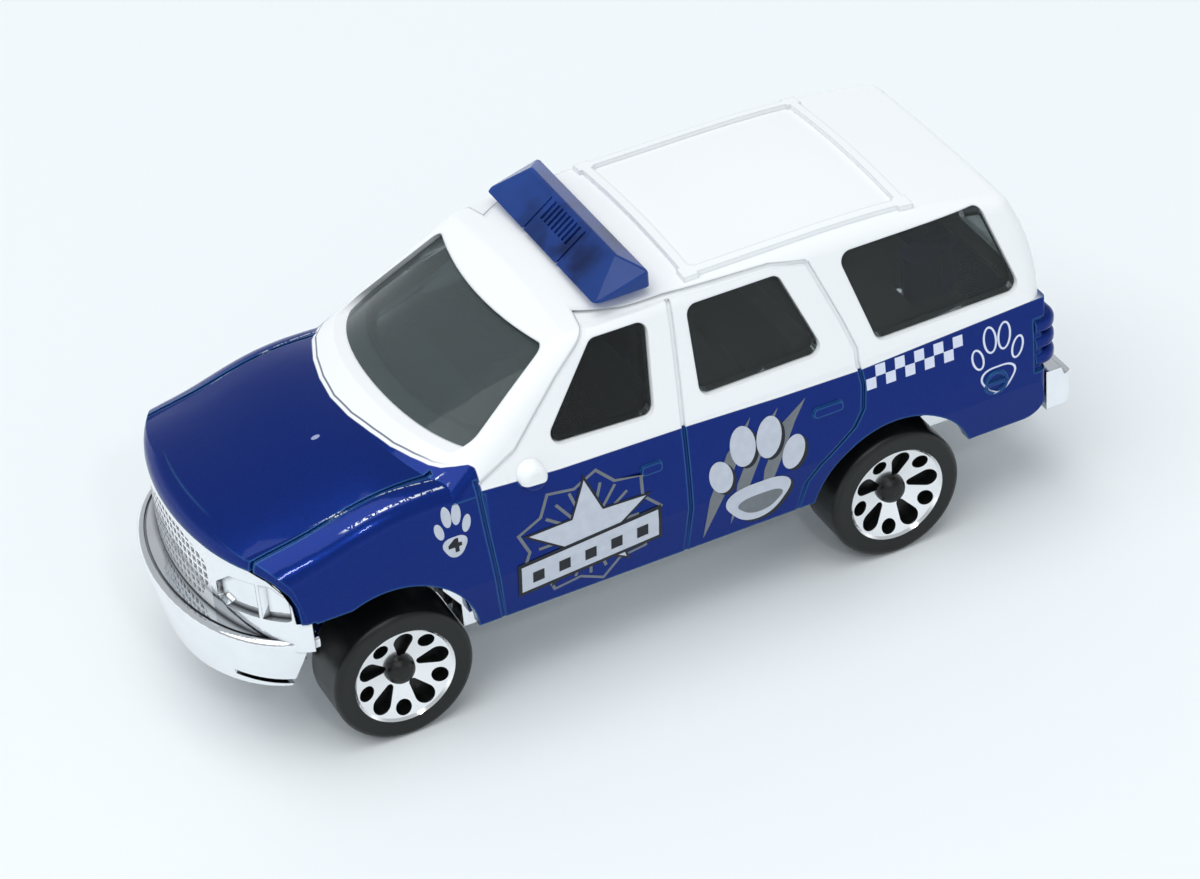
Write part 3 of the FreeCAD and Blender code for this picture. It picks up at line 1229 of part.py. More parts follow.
def bar_block():
    """Hipped block: a low rear wall, a ridge behind the middle and a long front slope."""
    front_x = BAR_X + BAR_LENGTH / 2
    rear_x = BAR_X - BAR_LENGTH / 2
    ridge_x = rear_x + RIDGE_AHEAD_OF_REAR
    corners = []
    for side in (1, -1):
        corners.append([
            Vector(front_x, side * BAR_HALF, BAR_LOW_Z),
            Vector(rear_x, side * BAR_HALF, BAR_LOW_Z),
            Vector(rear_x, side * BAR_HALF, BAR_LOW_Z + BAR_REAR_HEIGHT),
            Vector(ridge_x, side * RIDGE_HALF, BAR_LOW_Z + BAR_HEIGHT),
        ])
    left, right = corners
    outlines = [left[:3], [left[0], left[2], left[3]], right[2::-1], [right[3], right[2], right[0]]]
    for index in range(len(left)):
        outlines.append([left[index], left[index - 1], right[index - 1], right[index]])
    faces = [Part.Face(Part.makePolygon(outline + [outline[0]])) for outline in outlines]
    return Part.makeSolid(Part.makeShell(faces))


def light_bar():
    """Bar with rounded edges, louvres on its front slope and pegs below."""
    block = bar_block()
    low_z = BAR_LOW_Z + BAR_ROUNDING
    block = filleted(block, BAR_ROUNDING, lambda edge: edge.CenterOfMass.z > low_z)
    slope = math.atan2(BAR_HEIGHT, BAR_LENGTH - RIDGE_AHEAD_OF_REAR)
    normal = Vector(math.sin(slope), 0, math.cos(slope))
    skin = block.cut(block.translated(normal * -LOUVRE_DEPTH))
    ridge_x = BAR_X - BAR_LENGTH / 2 + RIDGE_AHEAD_OF_REAR
    slots = []
    for index in range(LOUVRES):
        y = (index - (LOUVRES - 1) / 2) * LOUVRE_PITCH
        start_x = ridge_x + LOUVRE_TOP
        slots.append(box(Vector(start_x, y - LOUVRE_WIDTH / 2, BAR_LOW_Z),
                         Vector(start_x + LOUVRE_LENGTH, y + LOUVRE_WIDTH / 2, BAR_LOW_Z + BAR_HEIGHT)))
    for y in (MODULE_HALF, -MODULE_HALF):
        slots.append(box(Vector(ridge_x + LOUVRE_TOP, y - MODULE_LINE / 2, BAR_LOW_Z),
                         Vector(BAR_X + BAR_LENGTH / 2, y + MODULE_LINE / 2, BAR_LOW_Z + BAR_HEIGHT)))
    pegs = [z_cylinder(PEG_RADIUS, BAR_X, y, BAR_LOW_Z - PEG_LENGTH, low_z) for y in (PEG_Y, -PEG_Y)]
    return block.cut(skin.common(slots)).fuse(pegs)


# Interior tub with seats and a dash, moulded in one

TUB_MARGIN = 0.9
TUB_FLOOR = 0.8
SEAT_CUSHION_Z = 14.2
SEAT_ABOVE_BELT = 1.3
SEAT_DEPTH = 6.4
SEAT_BACK = 1.8
SEAT_ROUNDING = 0.5
SEAT_INNER_Y = 1.3
SEAT_MARGIN = 1.6
DASH_BELOW_BELT = 0.3
DASH_DEPTH = 3.0
DASH_BEHIND_COWL = 0.4
DECK_Z = 14.0
REAR_SEAT_GAP = 0.4

TUB_HALF = FLOOR_HALF - TUB_MARGIN
SEAT_OUTER_Y = TUB_HALF - SEAT_MARGIN
SEAT_TOP_Z = BELT_Z + SEAT_ABOVE_BELT
DASH_TOP_Z = BELT_Z - DASH_BELOW_BELT

seat_row_shares = [0.4, 0.72]


def seat(x, y_from, y_to):
    """Cushion and back from one side profile."""
    low_z = FLOOR_HIGH_Z + SEAT_GAP
    back_x = x - SEAT_DEPTH
    lean = SEAT_BACK / 2
    outline_x_z = [
        (x, low_z), (x, SEAT_CUSHION_Z), (back_x + SEAT_BACK, SEAT_CUSHION_Z - SEAT_ROUNDING),
        (back_x + SEAT_BACK - lean, SEAT_TOP_Z), (back_x - lean, SEAT_TOP_Z), (back_x, low_z),
    ]
    points = [Vector(px, y_from, pz) for px, pz in outline_x_z]
    return rounded_prism(points, SEAT_ROUNDING, Vector(0, y_to - y_from, 0))


def interior():
    """Tub floor, front seats, rear bench, dash and load deck."""
    low_z = FLOOR_HIGH_Z + SEAT_GAP
    rear_x = REAR_AXLE_X + REAR_ARCH_RADIUS
    front_x = COWL_X - DASH_BEHIND_COWL
    first, second = [FRONT_AXLE_X - share * WHEELBASE for share in seat_row_shares]
    bench_back = second - SEAT_DEPTH + SEAT_BACK
    pieces = [box(Vector(rear_x, -TUB_HALF, low_z), Vector(front_x, TUB_HALF, low_z + TUB_FLOOR))]
    for y in (SEAT_INNER_Y, -SEAT_OUTER_Y):
        pieces.append(seat(first, y, y + SEAT_OUTER_Y - SEAT_INNER_Y))
    pieces.append(seat(second, -SEAT_OUTER_Y, SEAT_OUTER_Y))
    dash = box(Vector(front_x - DASH_DEPTH, -TUB_HALF, low_z), Vector(front_x, TUB_HALF, DASH_TOP_Z))
    pieces.append(filleted(dash, SEAT_ROUNDING, lambda edge: abs(edge.CenterOfMass.z - DASH_TOP_Z) < AXLE_FIT
                           and abs(edge.CenterOfMass.y) < SEAT_GAP))
    deck = box(Vector(TAIL_X + WALL + REAR_SEAT_GAP, -TUB_HALF, DECK_Z),
               Vector(bench_back, TUB_HALF, DECK_Z + TUB_FLOOR))
    rear_post = POST_PLACES[1]
    notch = box(Vector(TAIL_X, -POST_RADIUS - RUNNING_GAP, DECK_Z - WALL),
                Vector(rear_post + POST_RADIUS + RUNNING_GAP, POST_RADIUS + RUNNING_GAP, DECK_Z + WALL))
    pieces.append(deck.cut(notch))
    return fuse_all(pieces)


# Write every piece

os.makedirs("parts", exist_ok=True)

pieces = {
    "body_shell": body_shell(),
    "base": base(),
    "glazing": glazing(),
    "interior": interior(),
    "light_bar": light_bar(),
}
ends = [("front", FRONT_AXLE_X, FRONT_WHEEL_TURN), ("rear", REAR_AXLE_X, REAR_WHEEL_TURN)]
for end, axle_x, turn in ends:
    place = Vector(axle_x, 0, WHEEL_RADIUS)
    left_wheel = wheel(turn)
    pieces["axle_" + end] = axle().translated(place)
    pieces["wheel_" + end + "_left"] = left_wheel.translated(place)
    pieces["wheel_" + end + "_right"] = mirrored(left_wheel).translated(place)

for name, shape in pieces.items():
    print(name, shape.isValid(), len(shape.Solids), round(shape.Volume, 2))
    shape.exportStep("parts/" + name + ".step")
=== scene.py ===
import math

import bmesh
import bpy
from mathutils import Matrix, Vector
from mathutils.bvhtree import BVHTree


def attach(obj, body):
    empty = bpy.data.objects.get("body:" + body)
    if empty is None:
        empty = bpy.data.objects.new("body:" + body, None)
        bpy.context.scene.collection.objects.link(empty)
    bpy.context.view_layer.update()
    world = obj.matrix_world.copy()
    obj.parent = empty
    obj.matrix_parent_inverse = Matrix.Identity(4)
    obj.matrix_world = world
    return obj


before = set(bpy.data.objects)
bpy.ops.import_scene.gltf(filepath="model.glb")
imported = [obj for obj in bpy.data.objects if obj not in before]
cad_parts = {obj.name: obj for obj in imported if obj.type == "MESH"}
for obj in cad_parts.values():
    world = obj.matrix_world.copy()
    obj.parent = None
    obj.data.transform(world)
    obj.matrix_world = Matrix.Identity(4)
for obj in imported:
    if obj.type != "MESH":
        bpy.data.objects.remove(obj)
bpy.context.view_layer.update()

scene = bpy.context.scene
MM = 0.001

# Table top and light. The toy stands on a plain pale table, under one wide soft lamp
# and a small one on the camera's side, in a white room that is darker overhead.

TABLE_SIZE = 3000.0
TABLE_COLOUR = (0.86, 0.90, 0.915, 1)
ROOM_LOW_COLOUR = (0.95, 0.98, 1.0, 1)
ROOM_HIGH_COLOUR = (0.38, 0.40, 0.42, 1)
ROOM_HIGH_FROM = 0.42
ROOM_STRENGTH = 1.25

# The lamps and the camera are placed in metres, and all else is in millimetres.
TOP_LAMP = {"location": (0.40, 0.10, 1.4), "target": (0, 0, 0.02), "size": 1.5, "power": 15.0}
SIDE_LAMP = {"location": (0.05, 0.36, 0.34), "target": (0, 0, 0.01), "size": 0.03, "power": 0.16}


def mesh_object(name, points, faces):
    """A mesh in millimetres, made into an object at the origin."""
    mesh = bpy.data.meshes.new(name)
    mesh.from_pydata([[c * MM for c in p] for p in points], [], faces)
    made = bpy.data.objects.new(name, mesh)
    scene.collection.objects.link(made)
    return made


def finish(name, **sockets):
    """A new material with one Principled shader whose named sockets are set."""
    material = bpy.data.materials.new(name)
    material.use_nodes = True
    tree = material.node_tree
    shader = tree.nodes["Principled BSDF"]
    for key, value in sockets.items():
        shader.inputs[key.replace("_", " ")].default_value = value
    return material, tree, shader


def node(tree, kind, inputs=None, **settings):
    """A node with its settings made, and its sockets set or linked."""
    made = tree.nodes.new(kind)
    for key, value in settings.items():
        setattr(made, key, value)
    for key, value in (inputs or {}).items():
        if isinstance(value, bpy.types.NodeSocket):
            tree.links.new(value, made.inputs[key])
        else:
            made.inputs[key].default_value = value
    return made


def blend_colours(tree, share, first, second):
    """First colour at share 0, second at share 1."""
    mixer = node(tree, "ShaderNodeMix", {0: share, 6: first, 7: second}, data_type="RGBA")
    return mixer.outputs[2]


def ramp(tree, value, low, high):
    """0 at low, 1 at high and smooth between, whichever of the two is the larger."""
    spread = node(tree, "ShaderNodeMapRange", {"Value": value, "From Min": low, "From Max": high},
                  interpolation_type="SMOOTHSTEP")
    return spread.outputs[0]


def soft_lamp(name, location, target, size, power):
    """A square lamp that faces a point."""
    light = bpy.data.lights.new(name, "AREA")
    light.energy = power
    light.size = size
    lamp = bpy.data.objects.new(name, light)
    scene.collection.objects.link(lamp)
    way = Vector(target) - Vector(location)
    lamp.matrix_world = Matrix.Translation(location) @ way.to_track_quat("-Z", "Y").to_matrix().to_4x4()


half_table = TABLE_SIZE / 2
table = mesh_object("floor", [(-half_table, -half_table, 0), (half_table, -half_table, 0),
                              (half_table, half_table, 0), (-half_table, half_table, 0)], [(0, 1, 2, 3)])
table_top, tree, shader = finish("table_top", Base_Color=TABLE_COLOUR, Roughness=0.6,
                                 Specular_IOR_Level=0.2)
table.data.materials.append(table_top)

room = bpy.data.worlds.new("room")
room.use_nodes = True
scene.world = room
tree = room.node_tree
background = tree.nodes["Background"]
direction = node(tree, "ShaderNodeTexCoord").outputs["Generated"]
height = node(tree, "ShaderNodeSeparateXYZ", {0: direction}).outputs[2]
overhead = ramp(tree, height, 0.0, ROOM_HIGH_FROM)
room_colour = blend_colours(tree, overhead, ROOM_LOW_COLOUR, ROOM_HIGH_COLOUR)
tree.links.new(room_colour, background.inputs["Color"])
background.inputs["Strength"].default_value = ROOM_STRENGTH

soft_lamp("top_lamp", **TOP_LAMP)
soft_lamp("side_lamp", **SIDE_LAMP)

# Camera, where the photograph was taken from: in front of the car's left side and above it,
# with a long lens and the picture tipped a little.

CAMERA_PLACE = (0.0981943, 0.2284929, 0.1914065)
CAMERA_RIGHT = (-0.89253, 0.445104, -0.072611)
CAMERA_UP = (-0.315284, -0.5007, 0.806161)
LENS_LENGTH = 111.694
SEEN_FROM = 0.01
SEEN_TO = 10

lens = bpy.data.cameras.new("camera")
lens.lens = LENS_LENGTH
lens.clip_start = SEEN_FROM
lens.clip_end = SEEN_TO
camera = bpy.data.objects.new("camera", lens)
scene.collection.objects.link(camera)
right = Vector(CAMERA_RIGHT).normalized()
up = Vector(CAMERA_UP).normalized()
back = right.cross(up)
camera.matrix_world = Matrix.Translation(CAMERA_PLACE) @ Matrix((right, up, back)).transposed().to_4x4()
scene.camera = camera
scene.view_settings.view_transform = "Standard"

# Plated base: floor, axle carriers, grille, lamps and both bumpers, one plastic moulding
# with a bright vacuum-plated skin, held under the casting by two headed-over posts.

PLATING_DULL = (0.80, 0.82, 0.85, 1)
PLATING_BRIGHT = (0.92, 0.94, 0.96, 1)
PAINTED_EDGE_SHADE = (0.09, 0.095, 0.10, 1)
PAINTED_CREVICE_SHADE = (0.05, 0.055, 0.06, 1)
PLATING_CLOUDS = (0.35, 3.0)
CREASE_RADIUS = 0.09
CREASE_SAMPLES = 6
CREASE_RANGE = (0.01, 0.09)
CREVICE_REACH = 0.5
CREVICE_SAMPLES = 8
RIPPLES = (0.7, 2.0)
RIPPLE_DEPTH = 0.3
RIPPLE_STRENGTH = 0.10

# Within the grille the painted shade on edges, creases and crevices is fainter and the plating duller,
# so each of these pairs is for the rest of the base and for the grille.
GRILLE_HALF = 6.3
GRILLE_LOW_Z = 12.6
GRILLE_BACK_X = 34.0
EDGE_SHADE_SHARES = (0.85, 0.15)
CREVICE_SHADE_POWERS = (1.7, 0.4)
PLATING_METALLIC = (1.0, 0.55)


def maths(tree, operation, first, second=0.0, third=0.0):
    """One sum on numbers."""
    return node(tree, "ShaderNodeMath", {0: first, 1: second, 2: third}, operation=operation).outputs[0]


def product(tree, first, *others):
    """All the factors multiplied."""
    for other in others:
        first = maths(tree, "MULTIPLY", first, other)
    return first


def between(tree, share, at_none, at_full):
    """One number at share 0, another at share 1."""
    return maths(tree, "MULTIPLY_ADD", share, at_full - at_none, at_none)


def here_in_mm(tree):
    """Object coordinates in millimetres, and their three parts."""
    here = node(tree, "ShaderNodeTexCoord").outputs["Object"]
    scaled = node(tree, "ShaderNodeVectorMath", {0: here, "Scale": 1 / MM}, operation="SCALE").outputs[0]
    parts = node(tree, "ShaderNodeSeparateXYZ", {0: scaled}).outputs
    return scaled, parts[0], parts[1], parts[2]


def clouds(tree, scaled, scale, detail):
    """A soft uneven pattern from 0 to 1, with so many clouds to a millimetre and so fine a detail."""
    return node(tree, "ShaderNodeTexNoise", {"Vector": scaled, "Scale": scale, "Detail": detail}).outputs[0]


def rounded(tree, radius, samples):
    """The surface's direction as if its edges had a small radius."""
    return node(tree, "ShaderNodeBevel", {"Radius": radius * MM}, samples=samples).outputs[0]


def sharp_edges(tree, radius, samples, low, high):
    """0 where a small radius would change nothing, 1 on edges and in creases."""
    as_cast = node(tree, "ShaderNodeNewGeometry").outputs["Normal"]
    bevelled = rounded(tree, radius, samples)
    likeness = node(tree, "ShaderNodeVectorMath", {0: as_cast, 1: bevelled}, operation="DOT_PRODUCT").outputs[1]
    return ramp(tree, maths(tree, "SUBTRACT", 1.0, likeness), low, high)


def feed(tree, shader, **sockets):
    """Link values into the shader's named sockets."""
    for key, value in sockets.items():
        tree.links.new(value, shader.inputs[key.replace("_", " ")])


def dress(name, material):
    """Give a solid of the frame its one finish."""
    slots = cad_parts[name].data.materials
    slots.clear()
    slots.append(material)


plating, tree, shader = finish("plating", Roughness=0.09)
scaled, x, y, z = here_in_mm(tree)
on_grille = product(tree, maths(tree, "LESS_THAN", maths(tree, "ABSOLUTE", y), GRILLE_HALF),
                    maths(tree, "GREATER_THAN", z, GRILLE_LOW_Z),
                    maths(tree, "GREATER_THAN", x, GRILLE_BACK_X))
plate = blend_colours(tree, clouds(tree, scaled, *PLATING_CLOUDS), PLATING_DULL, PLATING_BRIGHT)
# Painted shade and dark reflection: the plating's edges and creases are painted near black.
edge_shade = product(tree, sharp_edges(tree, CREASE_RADIUS, CREASE_SAMPLES, *CREASE_RANGE),
                 between(tree, on_grille, *EDGE_SHADE_SHARES))
plate = blend_colours(tree, edge_shade, plate, PAINTED_EDGE_SHADE)
# Painted shade: the plating is painted darker the more closely a crevice is hemmed in.
unshaded_share = node(tree, "ShaderNodeAmbientOcclusion", {"Distance": CREVICE_REACH * MM},
                samples=CREVICE_SAMPLES).outputs["AO"]
unshaded_share = maths(tree, "POWER", unshaded_share, between(tree, on_grille, *CREVICE_SHADE_POWERS))
ripple = node(tree, "ShaderNodeBump", {"Height": clouds(tree, scaled, *RIPPLES), "Strength": RIPPLE_STRENGTH,
                                       "Distance": RIPPLE_DEPTH * MM}).outputs[0]
feed(tree, shader, Base_Color=blend_colours(tree, unshaded_share, PAINTED_CREVICE_SHADE, plate),
     Metallic=between(tree, on_grille, *PLATING_METALLIC), Normal=ripple)
dress("base", plating)

# Interior tub: seats, bench and dashboard, moulded as one piece in grey plastic
# and dropped on the base before the casting closes over it.

TUB_DARK = (0.13, 0.145, 0.15, 1)
TUB_PALE = (0.18, 0.20, 0.205, 1)
TUB_MOTTLE = (0.5, 4.0)

tub_plastic, tree, shader = finish("tub_plastic", Roughness=0.5)
scaled = here_in_mm(tree)[0]
feed(tree, shader, Base_Color=blend_colours(tree, clouds(tree, scaled, *TUB_MOTTLE), TUB_DARK, TUB_PALE))
dress("interior", tub_plastic)

# Glazing: windscreen, side windows and rear window in one smoke-grey clear moulding
# that lines the roof and looks out through the casting's openings. What faces up is painted
# a paler, less clear grey as a painted reflection, and the front windows darker as painted shade.

SMOKE_DEEP = (0.36, 0.40, 0.40, 1)
SMOKE_PALE = (0.44, 0.48, 0.48, 1)
SMOKE_CLOUDS = (0.2, 2.0)
FRONT_SHADE = (0.17, 0.19, 0.19, 1)
FRONT_SHADE_X = (-1.5, 0.5)
SHEEN_COLOUR = (0.20, 0.245, 0.25, 1)
SHEEN_TILT = (0.45, 0.7)
CLEAR_SHARES = (0.975, 0.755)

smoke_clear, tree, shader = finish("smoke_clear", Roughness=0.03, IOR=1.3, Specular_IOR_Level=0.25)
scaled, x, y, z = here_in_mm(tree)
facing = node(tree, "ShaderNodeNewGeometry").outputs["Normal"]
upward = node(tree, "ShaderNodeSeparateXYZ", {0: facing}).outputs[2]
# Painted reflection: faces that look up are painted a paler grey and made less clear.
painted_sheen = ramp(tree, upward, *SHEEN_TILT)
smoke = blend_colours(tree, clouds(tree, scaled, *SMOKE_CLOUDS), SMOKE_DEEP, SMOKE_PALE)
# Painted shade: the front windows are painted darker than the rest of the glazing.
smoke = blend_colours(tree, ramp(tree, x, *FRONT_SHADE_X), smoke, FRONT_SHADE)
feed(tree, shader, Base_Color=blend_colours(tree, painted_sheen, smoke, SHEEN_COLOUR),
     Transmission_Weight=between(tree, painted_sheen, *CLEAR_SHARES))
dress("glazing", smoke_clear)

# Body shell: one zinc casting, sprayed metallic blue below the belt and gloss white above it.
# The blue is paler over sharp edges and in the shut lines: partly paint drawn thin there,
# partly a painted highlight on the edges and painted light that fills the shut lines.

BLUE_DEEP = (0.0021, 0.0175, 0.158, 1)
BLUE_FLAKE = (0.0030, 0.0235, 0.196, 1)
BLUE_THIN_AND_HIGHLIGHT = (0.030, 0.125, 0.32, 1)
BLUE_THIN_AND_HIGHLIGHT_SHARE = 0.8
BLUE_METALLIC = 0.45
WHITE_FULL = (0.86, 0.88, 0.89, 1)
WHITE_THIN = (0.62, 0.66, 0.70, 1)
WHITE_THIN_SHARE = 0.3
FLAKES_PER_MM = 14.0
PAINT_RADIUS = 0.12
PAINT_SAMPLES = 6
THIN_PAINT_RADIUS = 0.3
THIN_PAINT_SAMPLES = 8
THIN_PAINT_RANGE = (0.004, 0.11)
COWL_SPRAY_BLUR = 0.05
BELT_SPRAY_BLUR = 0.04

# Where the white begins behind the hood, as places across and along the car, and where
# it begins above the sides, as places along and up it.
COWL_LINE = [(-14.0, 15.2), (-12.95, 15.5), (-12.67, 16.4), (-12.25, 17.7), (-10.4, 19.05), (-7.0, 20.3),
             (-4.0, 21.0), (-1.0, 21.33), (2.0, 21.12), (4.9, 20.5), (7.3, 19.85), (9.2, 19.0),
             (10.7, 18.15), (11.5, 17.45), (12.1, 16.5), (12.6, 15.6), (13.0, 15.25), (14.0, 15.15)]
BELT_LINE = [(-36.0, 20.35), (-27.4, 19.96), (-18.1, 19.52), (-10.9, 19.66), (-2.4, 20.0), (8.5, 20.2),
             (13.2, 20.5), (15.5, 20.66)]


def line_through(tree, value, places):
    """The height, over a place, of a line through the given places and heights."""
    first, last = places[0][0], places[-1][0]
    low = min(height for along, height in places)
    span = max(height for along, height in places) - low
    share = node(tree, "ShaderNodeMapRange", {"Value": value, "From Min": first, "From Max": last}).outputs[0]
    line = node(tree, "ShaderNodeValToRGB", {0: share})
    line.color_ramp.interpolation = "LINEAR"
    stops = line.color_ramp.elements
    for _ in places[2:]:
        stops.new(0.5)
    for stop, (along, height) in zip(stops, places):
        stop.position = (along - first) / (last - first)
        level = (height - low) / span
        stop.color = (level, level, level, 1)
    level = node(tree, "ShaderNodeSeparateXYZ", {0: line.outputs[0]}).outputs[0]
    return between(tree, level, low, low + span)


enamel, tree, shader = finish("enamel", Roughness=0.24, Specular_IOR_Level=0.03, Coat_Weight=0.22,
                              Coat_Roughness=0.04)
scaled, x, y, z = here_in_mm(tree)
behind_hood = maths(tree, "SUBTRACT", line_through(tree, y, COWL_LINE), x)
above_belt = maths(tree, "SUBTRACT", z, line_through(tree, x, BELT_LINE))
white_share = product(tree, ramp(tree, behind_hood, -COWL_SPRAY_BLUR, COWL_SPRAY_BLUR),
                      ramp(tree, above_belt, -BELT_SPRAY_BLUR, BELT_SPRAY_BLUR))
thin_paint_and_highlight = sharp_edges(tree, THIN_PAINT_RADIUS, THIN_PAINT_SAMPLES, *THIN_PAINT_RANGE)
flakes = node(tree, "ShaderNodeTexVoronoi", {"Vector": scaled, "Scale": FLAKES_PER_MM}).outputs["Color"]
sparkle = node(tree, "ShaderNodeSeparateXYZ", {0: flakes}).outputs[0]
blue = blend_colours(tree, sparkle, BLUE_DEEP, BLUE_FLAKE)
# Paler blue: partly thin paint, partly a painted highlight on edges and painted light in shut lines.
blue = blend_colours(tree, product(tree, thin_paint_and_highlight, BLUE_THIN_AND_HIGHLIGHT_SHARE), blue, BLUE_THIN_AND_HIGHLIGHT)
white = blend_colours(tree, product(tree, thin_paint_and_highlight, WHITE_THIN_SHARE), WHITE_FULL, WHITE_THIN)
paint = blend_colours(tree, white_share, blue, white)

# Marks in the paint: a fine dark line painted behind the hood's edge as painted shade,
# rows of bright dots painted along the fender's top ridge and the hood's edge as painted glints,
# and one chip in the hood.

# A width is half of a line and its soft edge, and other pairs run from no mark to a full one.
MARK_SHARE = 0.85
GAP_SHADE_COLOUR = (0.05, 0.07, 0.13, 1)
GAP_SHADE_BEHIND = 0.36
GAP_SHADE_WIDTH = (0.07, 0.03)
GAP_SHADE_ENDS_Y = (12.2, 9.0)
GLINT_COLOUR = (0.82, 0.88, 0.94, 1)
FENDER_GLINT_Y = 12.72
FENDER_GLINT_WIDTH = (0.075, 0.05)
HOOD_GLINT_Y = 13.70
HOOD_GLINT_WIDTH = (0.045, 0.04)
HOOD_TAPER = -0.10
GLINT_Z = (20.4, 20.8)
GLINT_BACK_X = (17.2, 18.0)
GLINT_FRONT_X = (29.0, 25.5)
GLINT_GRAIN = (4.2, 1.0)
GLINT_BREAKS = (0.42, 0.54)
CHIP_COLOUR = (0.42, 0.47, 0.72, 1)
CHIP_PLACE = (24.3, 2.9)
CHIP_STRETCH = 1.6
CHIP_EDGE = (0.42, 0.30)
CHIP_Z = (20.0, 20.5)


def band(tree, value, middle, half_width, edge):
    """1 within so much of a middle, 0 outside, with a soft edge."""
    away = maths(tree, "ABSOLUTE", maths(tree, "SUBTRACT", value, middle))
    return maths(tree, "SUBTRACT", 1.0, ramp(tree, away, half_width - edge, half_width + edge))


def distance(tree, across, along):
    """How far two offsets at right angles come to."""
    squares = [maths(tree, "POWER", offset, 2.0) for offset in (across, along)]
    return maths(tree, "SQRT", maths(tree, "ADD", *squares))


# Painted shade: a fine dark line a little behind where the white begins.
gap_shade = product(tree, band(tree, behind_hood, GAP_SHADE_BEHIND, *GAP_SHADE_WIDTH), ramp(tree, y, *GAP_SHADE_ENDS_Y),
                MARK_SHARE)
paint = blend_colours(tree, gap_shade, paint, GAP_SHADE_COLOUR)

# Painted glints: broken rows of bright dots along the fender's top ridge and the hood's edge.
out = maths(tree, "ABSOLUTE", y)
hood_side = maths(tree, "MULTIPLY_ADD", x, HOOD_TAPER, HOOD_GLINT_Y)
painted_glints = maths(tree, "MAXIMUM", band(tree, out, FENDER_GLINT_Y, *FENDER_GLINT_WIDTH),
               band(tree, out, hood_side, *HOOD_GLINT_WIDTH))
along_fender = product(tree, ramp(tree, x, *GLINT_BACK_X), ramp(tree, x, *GLINT_FRONT_X))
broken = ramp(tree, clouds(tree, scaled, *GLINT_GRAIN), *GLINT_BREAKS)
painted_glints = product(tree, painted_glints, ramp(tree, z, *GLINT_Z), along_fender, broken, MARK_SHARE)
paint = blend_colours(tree, painted_glints, paint, GLINT_COLOUR)

from_chip = distance(tree, maths(tree, "SUBTRACT", x, CHIP_PLACE[0]),
                     product(tree, maths(tree, "SUBTRACT", y, CHIP_PLACE[1]), CHIP_STRETCH))
chip = product(tree, ramp(tree, from_chip, *CHIP_EDGE), ramp(tree, z, *CHIP_Z))
paint = blend_colours(tree, chip, paint, CHIP_COLOUR)

feed(tree, shader, Base_Color=paint, Metallic=between(tree, white_share, BLUE_METALLIC, 0.0),
     Normal=rounded(tree, PAINT_RADIUS, PAINT_SAMPLES))
dress("body_shell", enamel)

# Printed designs: silver-grey, white and black inks pad-printed on both sides below the belt,
# each laid on the casting in thin layers. Front to rear: a paw with a number, a burst with a
# star and a band, a large paw over claw marks, a row of chequers, and an outlined paw.

INK_THICKNESS = 0.012
INK_GAP = 0.002
INK_COVER = (1.3, 3.0)
STRIP = 0.4
WELD = 0.002
CUT_TOLERANCE = 0.001
GROOVE_STEP = 0.5
PROBE_START = 30.0

FENDER_PAW_PLACE = (18.0, 18.1)
DOOR_STAR_PLACE = (6.75, 13.6)
DOOR_PAW_PLACE = (-8.35, 13.6)
CHEQUERS_PLACE = (-23.1, 18.45)
QUARTER_PAW_PLACE = (-30.8, 16.15)

# A toe or pad has its place and half its size as shares of half the paw, and a toe leans
# over by some degrees.
TOE_SHARES = [(-0.75, 0.12, 0.23, 0.33, 14), (-0.27, 0.57, 0.26, 0.40, 5),
              (0.27, 0.57, 0.26, 0.40, -5), (0.75, 0.12, 0.23, 0.33, -14)]
PAD_SHARES = (0, -0.58, 0.66, 0.40)
PAD_LOBE_SHARE = 0.10
PAD_HEEL_SHARE = 0.05
OVAL_POINTS = 28
PAD_POINTS = 40

FENDER_PAW_SIZE = (1.55, 2.35)
DOOR_PAW_SIZE = (4.4, 4.9)
DOOR_PAW_SHADOW = 0.3
QUARTER_PAW_SIZE = (2.5, 3.3)
QUARTER_PAW_LINE = 0.19

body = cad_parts["body_shell"]
skin = BVHTree.FromPolygons([v.co for v in body.data.vertices], [p.vertices for p in body.data.polygons])


def ink(name, thin, full):
    """A printed ink with a faint uneven cover."""
    made, tree, shader = finish(name, Roughness=0.38, Specular_IOR_Level=0.25)
    scaled = here_in_mm(tree)[0]
    feed(tree, shader, Base_Color=blend_colours(tree, clouds(tree, scaled, *INK_COVER), thin, full))
    return made


inks = {
    "silver": ink("ink_silver", (0.44, 0.48, 0.56, 1), (0.60, 0.64, 0.72, 1)),
    "grey": ink("ink_grey", (0.13, 0.145, 0.16, 1), (0.19, 0.21, 0.23, 1)),
    "white": ink("ink_white", (0.64, 0.68, 0.82, 1), (0.74, 0.78, 0.90, 1)),
    "black": ink("ink_black", (0.008, 0.010, 0.014, 1), (0.014, 0.017, 0.022, 1)),
}
ink_names = list(inks)


def in_strips(mesh):
    """Corners and faces of a flat mesh, cut into level strips that can follow the curved side."""
    made = bmesh.new()
    made.from_mesh(mesh)
    bmesh.ops.remove_doubles(made, verts=made.verts, dist=WELD)
    heights = [v.co.y for v in made.verts]
    level = math.floor(min(heights) / STRIP) * STRIP + STRIP
    while level < max(heights):
        everything = made.verts[:] + made.edges[:] + made.faces[:]
        bmesh.ops.bisect_plane(made, geom=everything, plane_co=(0, level, 0), plane_no=(0, 1, 0),
                               dist=CUT_TOLERANCE)
        level += STRIP
    made.verts.index_update()
    corners = [(v.co.x, v.co.y) for v in made.verts]
    flats = [[v.index for v in (f.verts if f.normal.z > 0 else reversed(f.verts))] for f in made.faces]
    made.free()
    return corners, flats


